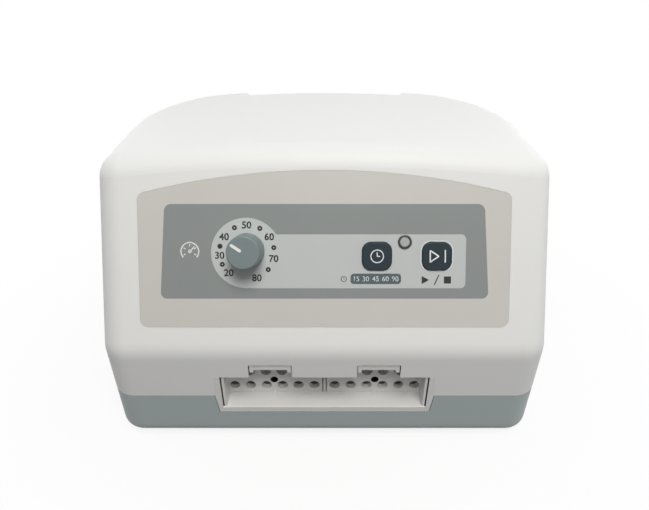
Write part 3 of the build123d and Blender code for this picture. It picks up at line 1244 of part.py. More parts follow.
def filter_frame():
    wide = VENT_PITCH * VENT_SLOTS / 2 + FILTER_FRAME
    high = VENT_LENGTH / 2 + FILTER_FRAME
    y1 = Y_BACK - WALL
    frame = block(VENT_X - wide, VENT_X + wide, y1 - FILTER_THICK - FILTER_BACK, y1, VENT_Z - high,
                  VENT_Z + high)
    pocket = block(VENT_X - wide + FILTER_FRAME, VENT_X + wide - FILTER_FRAME, y1 - FILTER_THICK, y1 + 1,
                   VENT_Z - high + FILTER_FRAME, VENT_Z + high - FILTER_FRAME)
    frame = frame - pocket
    side, slot = FILTER_SLOT
    for index in range(FILTER_BARS):
        z = VENT_Z + (index - (FILTER_BARS - 1) / 2) * FILTER_PITCH
        frame = frame - block(VENT_X - wide + side, VENT_X + wide - side, y1 - FILTER_THICK - 2 * FILTER_BACK,
                              y1 - FILTER_THICK + 1, z - slot / 2, z + slot / 2)
    return frame


def filter_pad():
    wide = VENT_PITCH * VENT_SLOTS / 2 - FIT
    high = VENT_LENGTH / 2 - FIT
    y1 = Y_BACK - WALL
    return block(VENT_X - wide, VENT_X + wide, y1 - FILTER_THICK, y1 - 0.1, VENT_Z - high, VENT_Z + high)


def handle_cup():
    """Finger cup behind the hand-hold, let into the rear wall with a flush lip."""
    outer = grip_prism(0, Y_BACK - GRIP_DEPTH, Y_BACK, 0)
    lip = grip_prism(0, Y_BACK - GRIP_LIP_THICK, Y_BACK, GRIP_LIP)
    inner = grip_prism(0, Y_BACK - GRIP_DEPTH + GRIP_WALL, Y_BACK + 1, -GRIP_WALL)
    return outer + lip - inner


PARTS = {
    "upper_housing": upper_housing, "base_tray": base_tray, "feet": feet,
    "housing_screws": housing_screws, "control_overlay": control_overlay,
    "status_bezel": status_bezel, "status_lens": status_lens, "timer_window": timer_window,
    "pressure_knob": pressure_knob, "knob_pointer": knob_pointer, "knob_set_screw": knob_set_screw,
    "pot_shaft": pot_shaft, "potentiometer": potentiometer,
    "time_key": lambda: key_cap(TIME_KEY_X), "start_key": lambda: key_cap(START_KEY_X),
    "key_switches": key_switches, "timer_leds": timer_leds, "control_board": control_board,
    "board_screws": board_screws, "outlet_frame": outlet_frame,
    "outlet_block_left": lambda: outlet_block(-1),
    "outlet_block_right": lambda: outlet_block(1), "port_seals": port_seals,
    "latch_bar_left": lambda: latch_bar(-1), "latch_bar_right": lambda: latch_bar(1),
    "gallery_gasket": gallery_gasket, "gallery_plate": gallery_plate, "cell_hoses": cell_hoses,
    "chassis_plate": chassis_plate, "chassis_screws": chassis_screws,
    "compressor_isolators": compressor_isolators, "compressor_body": compressor_body,
    "compressor_coils": compressor_coils, "compressor_armature": compressor_armature,
    "compressor_diaphragms": compressor_diaphragms, "compressor_heads": compressor_heads,
    "distributor_body": distributor_body, "distributor_rotor": distributor_rotor,
    "distributor_cover": distributor_cover, "rotor_gear": rotor_gear, "motor_pinion": motor_pinion,
    "motor_bracket": motor_bracket, "gearmotor": gearmotor, "supply_hose": supply_hose,
    "relief_valve_body": relief_valve_body, "relief_plunger": relief_plunger,
    "board_standoffs": board_standoffs, "power_board": power_board, "transformer": transformer,
    "signal_cable": signal_cable,
    "mains_inlet": mains_inlet, "inlet_pins": inlet_pins, "fuse_drawer": fuse_drawer,
    "switch_frame": switch_frame, "power_rocker": power_rocker, "mains_leads": mains_leads,
    "filter_frame": filter_frame, "filter_pad": filter_pad, "handle_cup": handle_cup,
}

os.makedirs("parts", exist_ok=True)
for node, make in PARTS.items():
    export_step(make(), f"parts/{node}.step")
    print("wrote", node)
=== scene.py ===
# %% [markdown]
# # Compression therapy pump, dressed
# This lesson dresses a desk air pump: a white housing over a grey tray, a printed sloping face with a dial and
# two keys, and two sockets of air ports in the front wall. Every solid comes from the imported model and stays
# where it is. The lesson adds the printing, the small marks and all the finishes. Its unit is the metre, and
# sizes that a maker would give in millimetres are written as a number times MM.

# %% Load the frame
import json
import math

import bmesh
import bpy
from mathutils import Matrix, Vector


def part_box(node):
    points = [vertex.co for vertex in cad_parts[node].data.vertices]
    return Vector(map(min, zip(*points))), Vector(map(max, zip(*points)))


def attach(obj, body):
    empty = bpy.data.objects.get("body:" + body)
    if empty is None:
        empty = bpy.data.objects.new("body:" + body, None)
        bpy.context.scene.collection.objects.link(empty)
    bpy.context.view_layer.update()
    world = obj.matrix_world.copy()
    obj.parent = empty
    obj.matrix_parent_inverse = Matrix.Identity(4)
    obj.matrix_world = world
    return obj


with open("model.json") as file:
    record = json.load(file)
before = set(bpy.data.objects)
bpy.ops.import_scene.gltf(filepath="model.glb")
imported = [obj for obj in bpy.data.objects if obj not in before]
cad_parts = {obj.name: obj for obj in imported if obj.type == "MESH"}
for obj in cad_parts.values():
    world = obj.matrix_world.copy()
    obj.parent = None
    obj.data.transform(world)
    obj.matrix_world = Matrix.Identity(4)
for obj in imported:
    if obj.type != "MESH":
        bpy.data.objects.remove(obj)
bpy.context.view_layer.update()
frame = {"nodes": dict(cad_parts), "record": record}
MM = 0.001

# %% [markdown]
# ## Camera
# The unit is seen from a hand's breadth above its top, square to its front. A camera could be placed by eye,
# but here its height, pitch and lens are given as numbers, so that upright walls narrow downward by the right
# amount. The lens is given by its length in pixels of a picture of one width, because only that share matters
# for perspective. The camera stands on the middle plane, because the unit is seen without any turn.

# %% Place the camera
sensor_width = 36.0
focal_pixels, picture_pixels = 527, 649
camera_distance, camera_height, camera_pitch = 330.25, 292.19, 57.6
camera_data = bpy.data.cameras.new("studio_camera")
camera_data.sensor_width = sensor_width
camera_data.lens = focal_pixels * sensor_width / picture_pixels
camera = bpy.data.objects.new("studio_camera", camera_data)
camera.location = (0, -camera_distance * MM, camera_height * MM)
camera.rotation_euler = (math.radians(camera_pitch), 0, 0)
bpy.context.scene.collection.objects.link(camera)
bpy.context.scene.camera = camera
print("lens", round(camera_data.lens, 2), "mm")

# %% [markdown]
# ## Writing materials as sums
# A finish is a graph of nodes, and a long graph is hard to read as a list of links. Two small classes make it
# read like a sum. Flow stands for one output socket, and arithmetic on it adds Math nodes. Recipe stands for
# the material and adds any other node: its settings go in first, then the values or links of its sockets.


# %% Flow and Recipe
class Flow:
    """One output socket. Arithmetic on it adds Math nodes to its recipe."""

    def __init__(self, recipe, socket):
        self.recipe, self.socket = recipe, socket

    def math(self, operation, *others, clamp=False):
        values = dict(enumerate((self,) + others))
        settings = {"operation": operation, "use_clamp": clamp}
        return self.recipe.node("ShaderNodeMath", settings, values)

    def __add__(self, other):
        return self.math("ADD", other)

    __radd__ = __add__

    def __sub__(self, other):
        return self.math("SUBTRACT", other)

    def __rsub__(self, other):
        return self.recipe.node("ShaderNodeMath", {"operation": "SUBTRACT"}, {0: other, 1: self})

    def __mul__(self, other):
        return self.math("MULTIPLY", other)

    __rmul__ = __mul__

    def __truediv__(self, other):
        return self.math("DIVIDE", other)

    def size(self):
        return self.math("ABSOLUTE")

    def root(self):
        return self.math("SQRT")

    def least(self, other):
        return self.math("MINIMUM", other)

    def greatest(self, other):
        return self.math("MAXIMUM", other)

    def clamped(self):
        return self.math("ADD", 0.0, clamp=True)


class Recipe:
    """A material, or the world, that is being written."""

    def __init__(self, name, owner=None):
        self.owner = owner or bpy.data.materials.new(name)
        self.owner.use_nodes = True
        self.tree = self.owner.node_tree
        self.tree.nodes.clear()

    def node(self, kind, settings=None, sockets=None, out=0):
        made = self.tree.nodes.new(kind)
        for key, value in (settings or {}).items():
            setattr(made, key, value)
        for key, value in (sockets or {}).items():
            if isinstance(value, Flow):
                self.tree.links.new(value.socket, made.inputs[key])
            else:
                made.inputs[key].default_value = value
        return Flow(self, made.outputs[out])

    def blend(self, mask, first, second):
        """first where mask is 0, second where it is 1. A Mix node takes its colours at sockets 6 and 7."""
        return self.node("ShaderNodeMix", {"data_type": "RGBA"}, {0: mask, 6: first, 7: second}, out=2)

    def noise(self, scale, detail, place=None, rough=0.5):
        place = place or self.place()
        return self.node("ShaderNodeTexNoise", {}, {"Vector": place, "Scale": scale, "Detail": detail,
                                                    "Roughness": rough})

    def place(self):
        return self.node("ShaderNodeTexCoord", out="Object")

    def axes(self, place=None):
        split = self.node("ShaderNodeSeparateXYZ", {}, {0: place or self.place()})
        outputs = split.socket.node.outputs
        return [Flow(self, outputs[index]) for index in range(3)]

    def bump(self, height, distance, strength):
        return self.node("ShaderNodeBump", {}, {"Height": height, "Distance": distance,
                                                "Strength": strength})

    def surface(self, **sockets):
        """The plain shader, and the material's output."""
        named = {key.replace("_", " ").title().replace("Ior", "IOR"): value for key, value in sockets.items()}
        shader = self.node("ShaderNodeBsdfPrincipled", {}, named)
        return self.finish(shader)

    def finish(self, shader, kind="ShaderNodeOutputMaterial"):
        output = self.tree.nodes.new(kind)
        self.tree.links.new(shader.socket, output.inputs["Surface"])
        return self.owner


def rgb(red, green, blue):
    return (red, green, blue, 1.0)


def shade(colour, factor):
    return tuple(min(1.0, channel * factor) for channel in colour[:3]) + (1.0,)


print("material helpers ready")

# %% [markdown]
# ## Narrow gaps
# A gap half a millimetre wide looks black, because light that falls in hardly comes out again. The walls of a
# gap could get pieces of their own, but here the plastic is painted black between two distances as painted
# shade, and the front faces beside the gap stay as they are. These masks are 1 in a gap and 0 elsewhere.


# %% Gaps beside the latch bars
def between(distance, limits):
    """1 where a distance lies between two limits in millimetres, 0 elsewhere."""
    above = distance.math("GREATER_THAN", limits[0] * MM)
    return above * distance.math("LESS_THAN", limits[1] * MM)


def beside_latch(recipe, place):
    """1 in the gaps on both sides of a latch bar, open to the front wall."""
    px, py, pz = recipe.axes(place)
    from_latch = (px.size() - latch_middle * MM).size()
    return between(from_latch, latch_side) * between(pz, latch_high) * between(py - front_wall, latch_deep)


front_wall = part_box("upper_housing")[0].y
latch_middle = 33.2
latch_side, latch_high, latch_deep = (12.75, 13.42), (54.6, 64.7), (0.1, 3.5)
# The black painted into narrow gaps, as painted shade.
painted_gap_shade = rgb(0.008, 0.008, 0.009)
print("front wall", round(front_wall, 4))

# %% [markdown]
# ## Moulded plastic
# The housing and tray are injection moulded. A moulded skin is never one flat colour: it has a fine grain
# from the tool, slow waves where the plastic cooled unevenly, and a shine that changes a little with
# handling. Each of these is a noise of its own size, and one function writes them for every moulded piece,
# because only colour, shine and grain differ between the pieces.


# %% A moulded skin
wave_scale, cloud_scale, fine_scale = 9.0, 70.0, 2600.0


def moulded(name, colour, roughness, grain, depth, mottle, coat=0.0, specular=0.5, gap=None):
    recipe = Recipe(name)
    place = recipe.place()
    slow = recipe.noise(wave_scale, 3.0, place)
    cloud = recipe.noise(cloud_scale, 4.0, place)
    fine = recipe.noise(grain, 2.0, place)
    tone = recipe.blend(slow * 0.6 + cloud * 0.4, shade(colour, 1 - mottle), shade(colour, 1 + mottle))
    # When a gap mask is given, the plastic is painted black there, as painted shade.
    if gap:
        tone = recipe.blend(gap(recipe, place), tone, painted_gap_shade)
    shine = (cloud - 0.5) * 0.14 + (fine - 0.5) * 0.05 + roughness
    height = fine * 0.75 + cloud * 0.25
    return recipe.surface(base_color=tone, roughness=shine, specular_ior_level=specular, coat_weight=coat,
                          coat_roughness=0.2, normal=recipe.bump(height, depth, 0.6))


finish = {}
# The housing is painted black in the gaps beside the latch bars, as painted shade.
finish["housing_white"] = moulded("housing_white", rgb(0.83, 0.83, 0.82), 0.5, fine_scale, 0.05 * MM,
                                  0.012, specular=0.4, gap=beside_latch)
plastics = (
    ("base_grey", rgb(0.415, 0.475, 0.48), 0.48, 2200, 0.07, 0.03),
    ("plastic_black", rgb(0.022, 0.022, 0.024), 0.46, 2400, 0.06, 0.12),
    ("plastic_natural", rgb(0.66, 0.64, 0.56), 0.42, 1800, 0.04, 0.05),
    ("knob_grey", rgb(0.185, 0.225, 0.23), 0.42, 3200, 0.05, 0.05),
    ("marker_white", rgb(0.86, 0.88, 0.85), 0.4, 3200, 0.03, 0.02),
)
for name, colour, roughness, grain, depth, mottle in plastics:
    finish[name] = moulded(name, colour, roughness, grain, depth * MM, mottle)
print("moulded finishes", len(finish))

# %% [markdown]
# ## Sockets
# The socket frame and port blocks are a paler moulding than the housing. In the middle of each block a guide
# hole is black inside, though it is no piece of its own: the plastic turns black wherever a point lies within
# the hole's radius of its axis, which covers the hole's wall and its bottom and nothing else. The gaps beside
# the cheeks and the middle fin are painted black too, as painted shade, and those at the fin, which are the
# narrowest, with a little of the edges beside them. The mouth's floor is painted a little darker, as painted
# shade.


# %% Socket plastic
def socket_plastic(name, colour):
    recipe = Recipe(name)
    place = recipe.place()
    px, py, pz = recipe.axes(place)
    dx, dz = px.size() - guide_place[0] * MM, pz - guide_place[1] * MM
    # The plastic turns black within the guide hole's radius of its axis.
    lined = (guide_radius * MM - (dx * dx + dz * dz).root()).math("GREATER_THAN", 0.0)
    behind_front = (py - front_wall).math("GREATER_THAN", mouth_lip * MM)
    beside_cheek = between(px.size(), cheek_gap) * behind_front
    fin_room = between(py - front_wall, fin_deep) * between(pz, fin_high)
    beside_fin = between(px.size(), fin_gap) * fin_room
    # The gaps beside the cheeks, the fin and the latch bars are painted black, as painted shade.
    gap_shade_mask = beside_cheek.greatest(beside_fin).greatest(beside_latch(recipe, place))
    # The mouth's floor is painted darker towards its lowest millimetre, as painted shade.
    painted_floor_shade = ((floor_shade_top * MM - pz) / (floor_shade_fade * MM)).clamped() * behind_front
    cloud = recipe.noise(cloud_scale, 4.0, place)
    fine = recipe.noise(fine_scale, 2.0, place)
    tone = recipe.blend(cloud, shade(colour, 0.97), shade(colour, 1.03))
    tone = recipe.blend(painted_floor_shade * floor_shade_cover, tone, shade(colour, floor_shade_factor))
    tone = recipe.blend(lined.greatest(gap_shade_mask), tone, painted_gap_shade)
    return recipe.surface(base_color=tone, roughness=(cloud - 0.5) * 0.14 + 0.42,
                          normal=recipe.bump(fine, 0.04 * MM, 0.6))


guide_place = (32.8, 39.1)
guide_radius = 2.54
mouth_lip = 0.95
cheek_gap = (64.2, 65.1)
fin_gap, fin_deep, fin_high = (0.8, 1.42), (4.0, 40.0), (28.0, 60.0)
# Top and fade in millimetres, then cover and darkening, of the painted shade on the mouth's floor.
floor_shade_top, floor_shade_fade, floor_shade_cover, floor_shade_factor = 28.7, 0.9, 0.9, 0.86
finish["port_white"] = socket_plastic("port_white", rgb(0.78, 0.775, 0.76))
print("finishes so far", len(finish))

# %% [markdown]
# ## Rubber, silicone, foam and hose
# Soft parts scatter light more than hard plastic. The feet and seals are matte rubber with a dusty bloom, the
# keys are silicone with a soft sheen and the hoses are clear vinyl that has gone slightly milky. Foam is
# open cells, which a cell pattern gives as deep bumps, with the pits painted darker as painted shade.


# %% Soft finishes
def rubbery(name, colour, roughness, dust):
    recipe = Recipe(name)
    place = recipe.place()
    bloom = recipe.noise(130.0, 5.0, place, 0.7)
    fine = recipe.noise(1900.0, 2.0, place)
    tone = recipe.blend((bloom - 0.42).math("MULTIPLY", dust, clamp=True), colour, rgb(0.30, 0.30, 0.29))
    return recipe.surface(base_color=tone, roughness=(bloom - 0.5) * 0.2 + roughness,
                          specular_ior_level=0.35, normal=recipe.bump(fine, 0.06 * MM, 0.7))


def silicone(name, colour):
    recipe = Recipe(name)
    place = recipe.place()
    slow = recipe.noise(160.0, 3.0, place)
    fine = recipe.noise(3600.0, 1.0, place)
    tone = recipe.blend(slow, shade(colour, 0.85), shade(colour, 1.2))
    return recipe.surface(base_color=tone, roughness=(slow - 0.5) * 0.12 + 0.44, specular_ior_level=0.3,
                          sheen_weight=0.03, normal=recipe.bump(fine, 0.03 * MM, 0.6))


def open_foam(name, colour):
    recipe = Recipe(name)
    place = recipe.place()
    cells = recipe.node("ShaderNodeTexVoronoi", {"feature": "F1"}, {"Vector": place, "Scale": 900.0})
    # The pits of the cells are painted darker, as painted shade.
    tone = recipe.blend((cells * 2.2).clamped(), shade(colour, 0.25), shade(colour, 1.5))
    return recipe.surface(base_color=tone, roughness=(cells * 0.2) + 0.75,
                          normal=recipe.bump(cells, 0.5 * MM, 0.9))


def vinyl(name, colour):
    recipe = Recipe(name)
    place = recipe.place()
    haze = recipe.noise(120.0, 3.0, place)
    tone = recipe.blend(haze, shade(colour, 0.86), shade(colour, 1.05))
    return recipe.surface(base_color=tone, roughness=haze * 0.2 + 0.22, transmission_weight=0.35, ior=1.5,
                          normal=recipe.bump(haze, 0.1 * MM, 0.4))


finish["rubber_black"] = rubbery("rubber_black", rgb(0.018, 0.018, 0.019), 0.72, 0.5)
finish["rubber_grey"] = rubbery("rubber_grey", rgb(0.10, 0.10, 0.105), 0.66, 0.35)
finish["key_navy"] = silicone("key_navy", rgb(0.010, 0.022, 0.030))
finish["foam_grey"] = open_foam("foam_grey", rgb(0.07, 0.07, 0.075))
finish["hose_clear"] = vinyl("hose_clear", rgb(0.72, 0.73, 0.70))
print("finishes so far", len(finish))

# %% [markdown]
# ## Metals
# Plated steel, cast aluminium, brass and wound copper are all metal, and what tells them apart is how they
# were worked. Rolled steel has long faint lines, so its noise is squeezed across two axes and runs along the
# third. Cast metal is grainy and dull, and wound wire is a stack of fine ridges, which a wave gives, with the
# grooves between them painted darker as painted shade.


# %% Metal finishes
def worked_metal(name, colour, roughness, stretch, grain, depth):
    recipe = Recipe(name)
    lined = recipe.node("ShaderNodeMapping", {}, {"Vector": recipe.place(), "Scale": stretch})
    lines = recipe.noise(grain, 3.0, lined)
    cloud = recipe.noise(90.0, 4.0)
    tone = recipe.blend(cloud * 0.5 + lines * 0.5, shade(colour, 0.84), shade(colour, 1.1))
    shine = (lines - 0.5) * 0.22 + (cloud - 0.5) * 0.12 + roughness
    return recipe.surface(base_color=tone, metallic=1.0, roughness=shine,
                          normal=recipe.bump(lines, depth, 0.5))


def wound_wire(name, colour):
    recipe = Recipe(name)
    turns = recipe.node("ShaderNodeTexWave", {"wave_type": "BANDS", "bands_direction": "Y"},
                        {"Vector": recipe.place(), "Scale": 420.0, "Distortion": 0.6})
    # The grooves between the turns are painted darker, as painted shade.
    tone = recipe.blend(turns, shade(colour, 0.45), shade(colour, 1.1))
    return recipe.surface(base_color=tone, metallic=0.85, roughness=turns * 0.15 + 0.3,
                          normal=recipe.bump(turns, 0.3 * MM, 0.8))


even, along_x, along_z = (1, 1, 1), (1, 12, 12), (12, 12, 1)
metals = (
    ("steel_zinc", rgb(0.60, 0.61, 0.62), 0.36, along_x, 160.0, 0.02),
    ("steel_dark", rgb(0.07, 0.07, 0.075), 0.42, even, 900.0, 0.03),
    ("aluminium_cast", rgb(0.58, 0.59, 0.60), 0.5, even, 1100.0, 0.08),
    ("brass_pin", rgb(0.70, 0.55, 0.30), 0.3, along_z, 200.0, 0.02),
)
for name, colour, roughness, stretch, grain, depth in metals:
    finish[name] = worked_metal(name, colour, roughness, stretch, grain, depth * MM)
finish["copper_coil"] = wound_wire("copper_coil", rgb(0.60, 0.27, 0.11))
print("finishes so far", len(finish))

# %% [markdown]
# ## Circuit boards
# A board is green solder mask over copper. Where copper runs underneath the mask looks lighter and stands a
# hair higher. A real layout isn't needed for boards inside a housing, so a cell pattern that measures
# distance squarely stands for the tracks.


# %% Circuit board
def circuit_board(name, colour):
    recipe = Recipe(name)
    cells = recipe.node("ShaderNodeTexVoronoi", {"feature": "DISTANCE_TO_EDGE"},
                        {"Vector": recipe.place(), "Scale": 240.0, "Randomness": 0.6})
    tracks = (1.0 - cells * 9.0).clamped()
    tone = recipe.blend(tracks, colour, rgb(0.07, 0.30, 0.13))
    return recipe.surface(base_color=tone, roughness=0.36 - tracks * 0.1,
                          normal=recipe.bump(tracks, 0.05 * MM, 0.7))


finish["board_green"] = circuit_board("board_green", rgb(0.025, 0.16, 0.07))
print("finishes so far", len(finish))

# %% [markdown]
# ## Lamp and timer window
# The lamp is a dark ring round a pale lens that scatters light, and the timer window is smoked acrylic over
# five small lamps. The lens could be real glass, but a frosted one shows its own colour more than what lies
# behind it, so it gets a little transmission and a satin shine. The window is dark and glossy.


# %% Lamp and window finishes
def frosted_lens(name, colour):
    recipe = Recipe(name)
    frost = recipe.noise(1500.0, 3.0)
    tone = recipe.blend(frost, shade(colour, 0.82), shade(colour, 1.08))
    return recipe.surface(base_color=tone, roughness=frost * 0.2 + 0.28, transmission_weight=0.15, ior=1.46,
                          coat_weight=0.6, coat_roughness=0.08, normal=recipe.bump(frost, 0.05 * MM, 0.5))


def smoked_window(name, colour):
    recipe = Recipe(name)
    smear = recipe.noise(210.0, 4.0)
    tone = recipe.blend(smear, shade(colour, 0.8), shade(colour, 1.2))
    return recipe.surface(base_color=tone, roughness=smear * 0.16 + 0.16, coat_weight=0.4,
                          coat_roughness=0.1, normal=recipe.bump(smear, 0.02 * MM, 0.4))


finish["lamp_ring"] = moulded("lamp_ring", rgb(0.02, 0.022, 0.024), 0.3, 3200, 0.03 * MM, 0.1, 0.4)
finish["lamp_lens"] = frosted_lens("lamp_lens", rgb(0.50, 0.52, 0.51))
finish["window_smoke"] = smoked_window("window_smoke", rgb(0.070, 0.098, 0.112))
print("finishes so far", len(finish))

# %% [markdown]
# ## Places on the control face
# The control face leans back by 28 degrees, and everything printed on it is given by how far it lies across
# and how far up the slope. One function turns those two numbers into a place in the frame, and a second gives
# the whole turn that lays a flat shape on the slope, so no piece is ever rotated by hand.

# %% Control face places
tilt = math.radians(28.0)
across = Vector((1, 0, 0))
upward = Vector((0, math.sin(tilt), math.cos(tilt)))
outward = Vector((0, -math.cos(tilt), math.sin(tilt)))
crease_height = 74.4
crease = Vector((0, front_wall, crease_height * MM))
film_top = 0.1
time_key_place = (30.8, 58.2)
start_key_place = (66.0, 58.2)


def face_place(x, t, n):
    """A point on the control face, from millimetres across, up the slope and outwards."""
    return crease + across * (x * MM) + upward * (t * MM) + outward * (n * MM)


def face_turn(x, t, n):
    """Lays a shape drawn flat in millimetres on the face, upright."""
    lean = Matrix((across, upward, outward)).transposed().to_4x4()
    return Matrix.Translation(face_place(x, t, n)) @ lean @ Matrix.Scale(MM, 4)


print("crease", [round(v, 4) for v in crease])

# %% [markdown]
# ## The printed film
# The film over the control face is printed from behind in four inks: a warm grey ground, a darker band whose
# sides lean in towards the top, a pale inlay made of a disc and a strip, and a fine white line round one key.
# An image would be the usual way. Here each ink is a mask worked out from where a point lies on the face:
# the distance to a rounded rectangle tells which side of its outline the point is on.


# %% Film inks
band_middle, band_half, band_corner = (0.0, 60.85), (95.0, 27.85), 4.0
band_foot, band_foot_half, band_lean = 36.7, 96.6, 0.0600
disc_middle, disc_radius = (-45.9, 60.0), 20.7
strip_middle, strip_half, strip_corner = (18.7, 55.1), (64.3, 15.9), 3.0
key_line_half, key_line_corner, key_line_width = (9.3, 8.9), 5.9, 0.5
ink_edge = 0.12


def face_distance_rectangle(x, t, middle, half, corner):
    """Distance in millimetres from a rounded rectangle's outline, negative inside."""
    dx = (x - middle[0]).size() - (half[0] - corner)
    dt = (t - middle[1]).size() - (half[1] - corner)
    outside = (dx.greatest(0.0) * dx.greatest(0.0) + dt.greatest(0.0) * dt.greatest(0.0)).root()
    return outside + dx.greatest(dt).least(0.0) - corner


def face_distance_disc(x, t, middle, radius):
    dx, dt = x - middle[0], t - middle[1]
    return (dx * dx + dt * dt).root() - radius


def inside(distance):
    """1 inside an outline and 0 outside, with an edge as soft as ink has."""
    return (0.5 - distance / ink_edge).clamped()


def printed_film(name):
    recipe = Recipe(name)
    px, py, pz = recipe.axes()
    x = px / MM
    t = ((py - crease.y) * upward.y + (pz - crease.z) * upward.z) / MM
    leaning = x.size() * band_half[0] / (band_foot_half - (t - band_foot) * band_lean)
    band = inside(face_distance_rectangle(leaning, t, band_middle, band_half, band_corner))
    disc_ink = face_distance_disc(x, t, disc_middle, disc_radius)
    strip_ink = face_distance_rectangle(x, t, strip_middle, strip_half, strip_corner)
    inlay = inside(disc_ink.least(strip_ink))
    key_edge = face_distance_rectangle(x, t, start_key_place, key_line_half, key_line_corner)
    key_line = key_edge.size() - key_line_width / 2
    slow = recipe.noise(28.0, 3.0)
    ground = recipe.blend(slow, rgb(0.605, 0.592, 0.548), rgb(0.635, 0.622, 0.578))
    darker = recipe.blend(slow, rgb(0.248, 0.266, 0.262), rgb(0.272, 0.290, 0.284))
    paler = recipe.blend(slow, rgb(0.535, 0.560, 0.552), rgb(0.570, 0.595, 0.588))
    tone = recipe.blend(band, ground, darker)
    tone = recipe.blend(inlay, tone, paler)
    tone = recipe.blend(inside(key_line), tone, rgb(0.86, 0.87, 0.86))
    weave = recipe.noise(fine_scale, 2.0)
    return recipe.surface(base_color=tone, roughness=(slow - 0.5) * 0.1 + (weave - 0.5) * 0.08 + 0.4,
                          specular_ior_level=0.45, normal=recipe.bump(weave, 0.035 * MM, 0.5))


finish["overlay_film"] = printed_film("overlay_film")
print("finishes so far", len(finish))

# %% [markdown]
# ## Finishing the solids
# Each solid already has a material slot that carries the name of its finish. Assigning by that name means a
# solid is never missed, and a new one is noticed: the last line prints any that got nothing.

# %% Give each solid its finish
bare = []
for node, solid in frame["nodes"].items():
    for socket in solid.material_slots:
        wanted = socket.material.name.split(".")[0] if socket.material else ""
        if wanted in finish:
            socket.material = finish[wanted]
        else:
            bare.append((node, wanted))
print("solids without a finish", bare)

# %% [markdown]
# ## Turning a drawing into a piece
# A printed mark is a flat drawing with a film of ink's thickness. It could be painted into the film's
# material, but a mark with its own mesh keeps a sharp edge at any distance. One function turns a finished
# bmesh into a piece with an ink that rides on a body of the model. Another thickens a flat drawing and lays
# it in place first.


# %% Piece maker
ink_thickness = 0.03


def piece(name, shape, body, ink):
    mesh = bpy.data.meshes.new(name)
    bmesh.ops.recalc_face_normals(shape, faces=shape.faces[:])
    shape.to_mesh(mesh)
    shape.free()
    mesh.materials.append(ink)
    made = bpy.data.objects.new(name, mesh)
    bpy.context.scene.collection.objects.link(made)
    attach(made, body)
    print(name, len(mesh.polygons), "faces on", body)


def thicken(shape):
    """Gives a flat drawing its ink's thickness, upwards."""
    grown = bmesh.ops.extrude_face_region(shape, geom=shape.faces[:])
    raised = [item for item in grown["geom"] if isinstance(item, bmesh.types.BMVert)]
    bmesh.ops.translate(shape, verts=raised, vec=(0, 0, ink_thickness))


def printed(name, drawing, place, body, ink):
    """Makes a piece of a flat drawing, laid by a matrix."""
    thicken(drawing)
    bmesh.ops.transform(drawing, matrix=place, verts=drawing.verts)
    piece(name, drawing, body, ink)


def add(shape, other, place):
    """Adds a drawing to a shape, laid by a matrix."""
    bmesh.ops.transform(other, matrix=place, verts=other.verts)
    mesh = bpy.data.meshes.new("drawing")
    other.to_mesh(mesh)
    other.free()
    shape.from_mesh(mesh)
    bpy.data.meshes.remove(mesh)


print("ink", ink_thickness, "mm thick")

# %% [markdown]
# ## Drawings
# All the marks come from four drawings: a disc, a ring, a bar with round ends and an outline with rounded
# corners. Numbers come from a text object, which is made a mesh before it is placed. They are drawn in
# Blender's own plain typeface, a little heavier than it comes, as a screen print thickens. A flat drawing is
# in millimetres round its own middle, and two functions give places in it.


# %% Flat drawings in millimetres
def disc(radius, segments):
    shape = bmesh.new()
    bmesh.ops.create_circle(shape, cap_ends=True, segments=segments, radius=radius)
    return shape


def hollow(shape, stroke):
    """Leaves only a line of one width along a drawing's edge."""
    bmesh.ops.inset_region(shape, faces=shape.faces[:], thickness=stroke, use_boundary=True,
                           use_even_offset=True)
    middle = max(shape.faces, key=lambda item: len(item.verts))
    bmesh.ops.delete(shape, geom=[middle], context="FACES")


def outline(corners, radius, stroke=None):
    """A polygon with rounded corners, filled, or drawn as a line of one width."""
    shape = bmesh.new()
    face = shape.faces.new([shape.verts.new((x, y, 0)) for x, y in corners])
    bmesh.ops.bevel(shape, geom=face.verts[:], offset=radius, offset_type="OFFSET", segments=6, profile=0.5,
                    affect="VERTICES", material=-1)
    if stroke:
        hollow(shape, stroke)
    return shape


def bar(length, width):
    """A line with round ends, lying along X."""
    half, side = length / 2, width / 2
    return outline([(-half, -side), (half, -side), (half, side), (-half, side)], side * 0.98)


def ring(radius, stroke, segments):
    shape = disc(radius, segments)
    hollow(shape, stroke)
    return shape


def figures(text, height, weight, spacing):
    """Numbers as a flat mesh, their middle at the origin. height is that of a digit."""
    curve = bpy.data.curves.new("figures", "FONT")
    curve.body, curve.size = text, height / digit_share
    curve.align_x, curve.offset = "CENTER", weight
    curve.space_character, curve.resolution_u = spacing, 5
    written = bpy.data.objects.new("figures", curve)
    bpy.context.scene.collection.objects.link(written)
    mesh = bpy.data.meshes.new_from_object(written.evaluated_get(bpy.context.evaluated_depsgraph_get()))
    shape = bmesh.new()
    shape.from_mesh(mesh)
    bmesh.ops.translate(shape, verts=shape.verts, vec=(0, -height / 2, 0))
    bpy.data.objects.remove(written)
    bpy.data.curves.remove(curve)
    bpy.data.meshes.remove(mesh)
    return shape


def flat_place(x, y, turn=0.0):
    """A place in a drawing, turned clockwise by turn degrees."""
    return Matrix.Translation((x, y, 0)) @ Matrix.Rotation(-math.radians(turn), 4, "Z")


def round_place(radius, angle, turn=0.0):
    """A place on a circle, at an angle measured clockwise from straight up."""
    reach = math.radians(angle)
    return flat_place(radius * math.sin(reach), radius * math.cos(reach), turn)


digit_share = 0.69
print("a digit is", digit_share, "of its text size")

# %% [markdown]
# ## Inks
# Screen ink is opaque and slightly satin. The dark ink is a cool near-black, and the pale one is a little
# greyer than the knob's white pointer. Both carry a faint mottle, because ink dries unevenly over the film's
# grain.


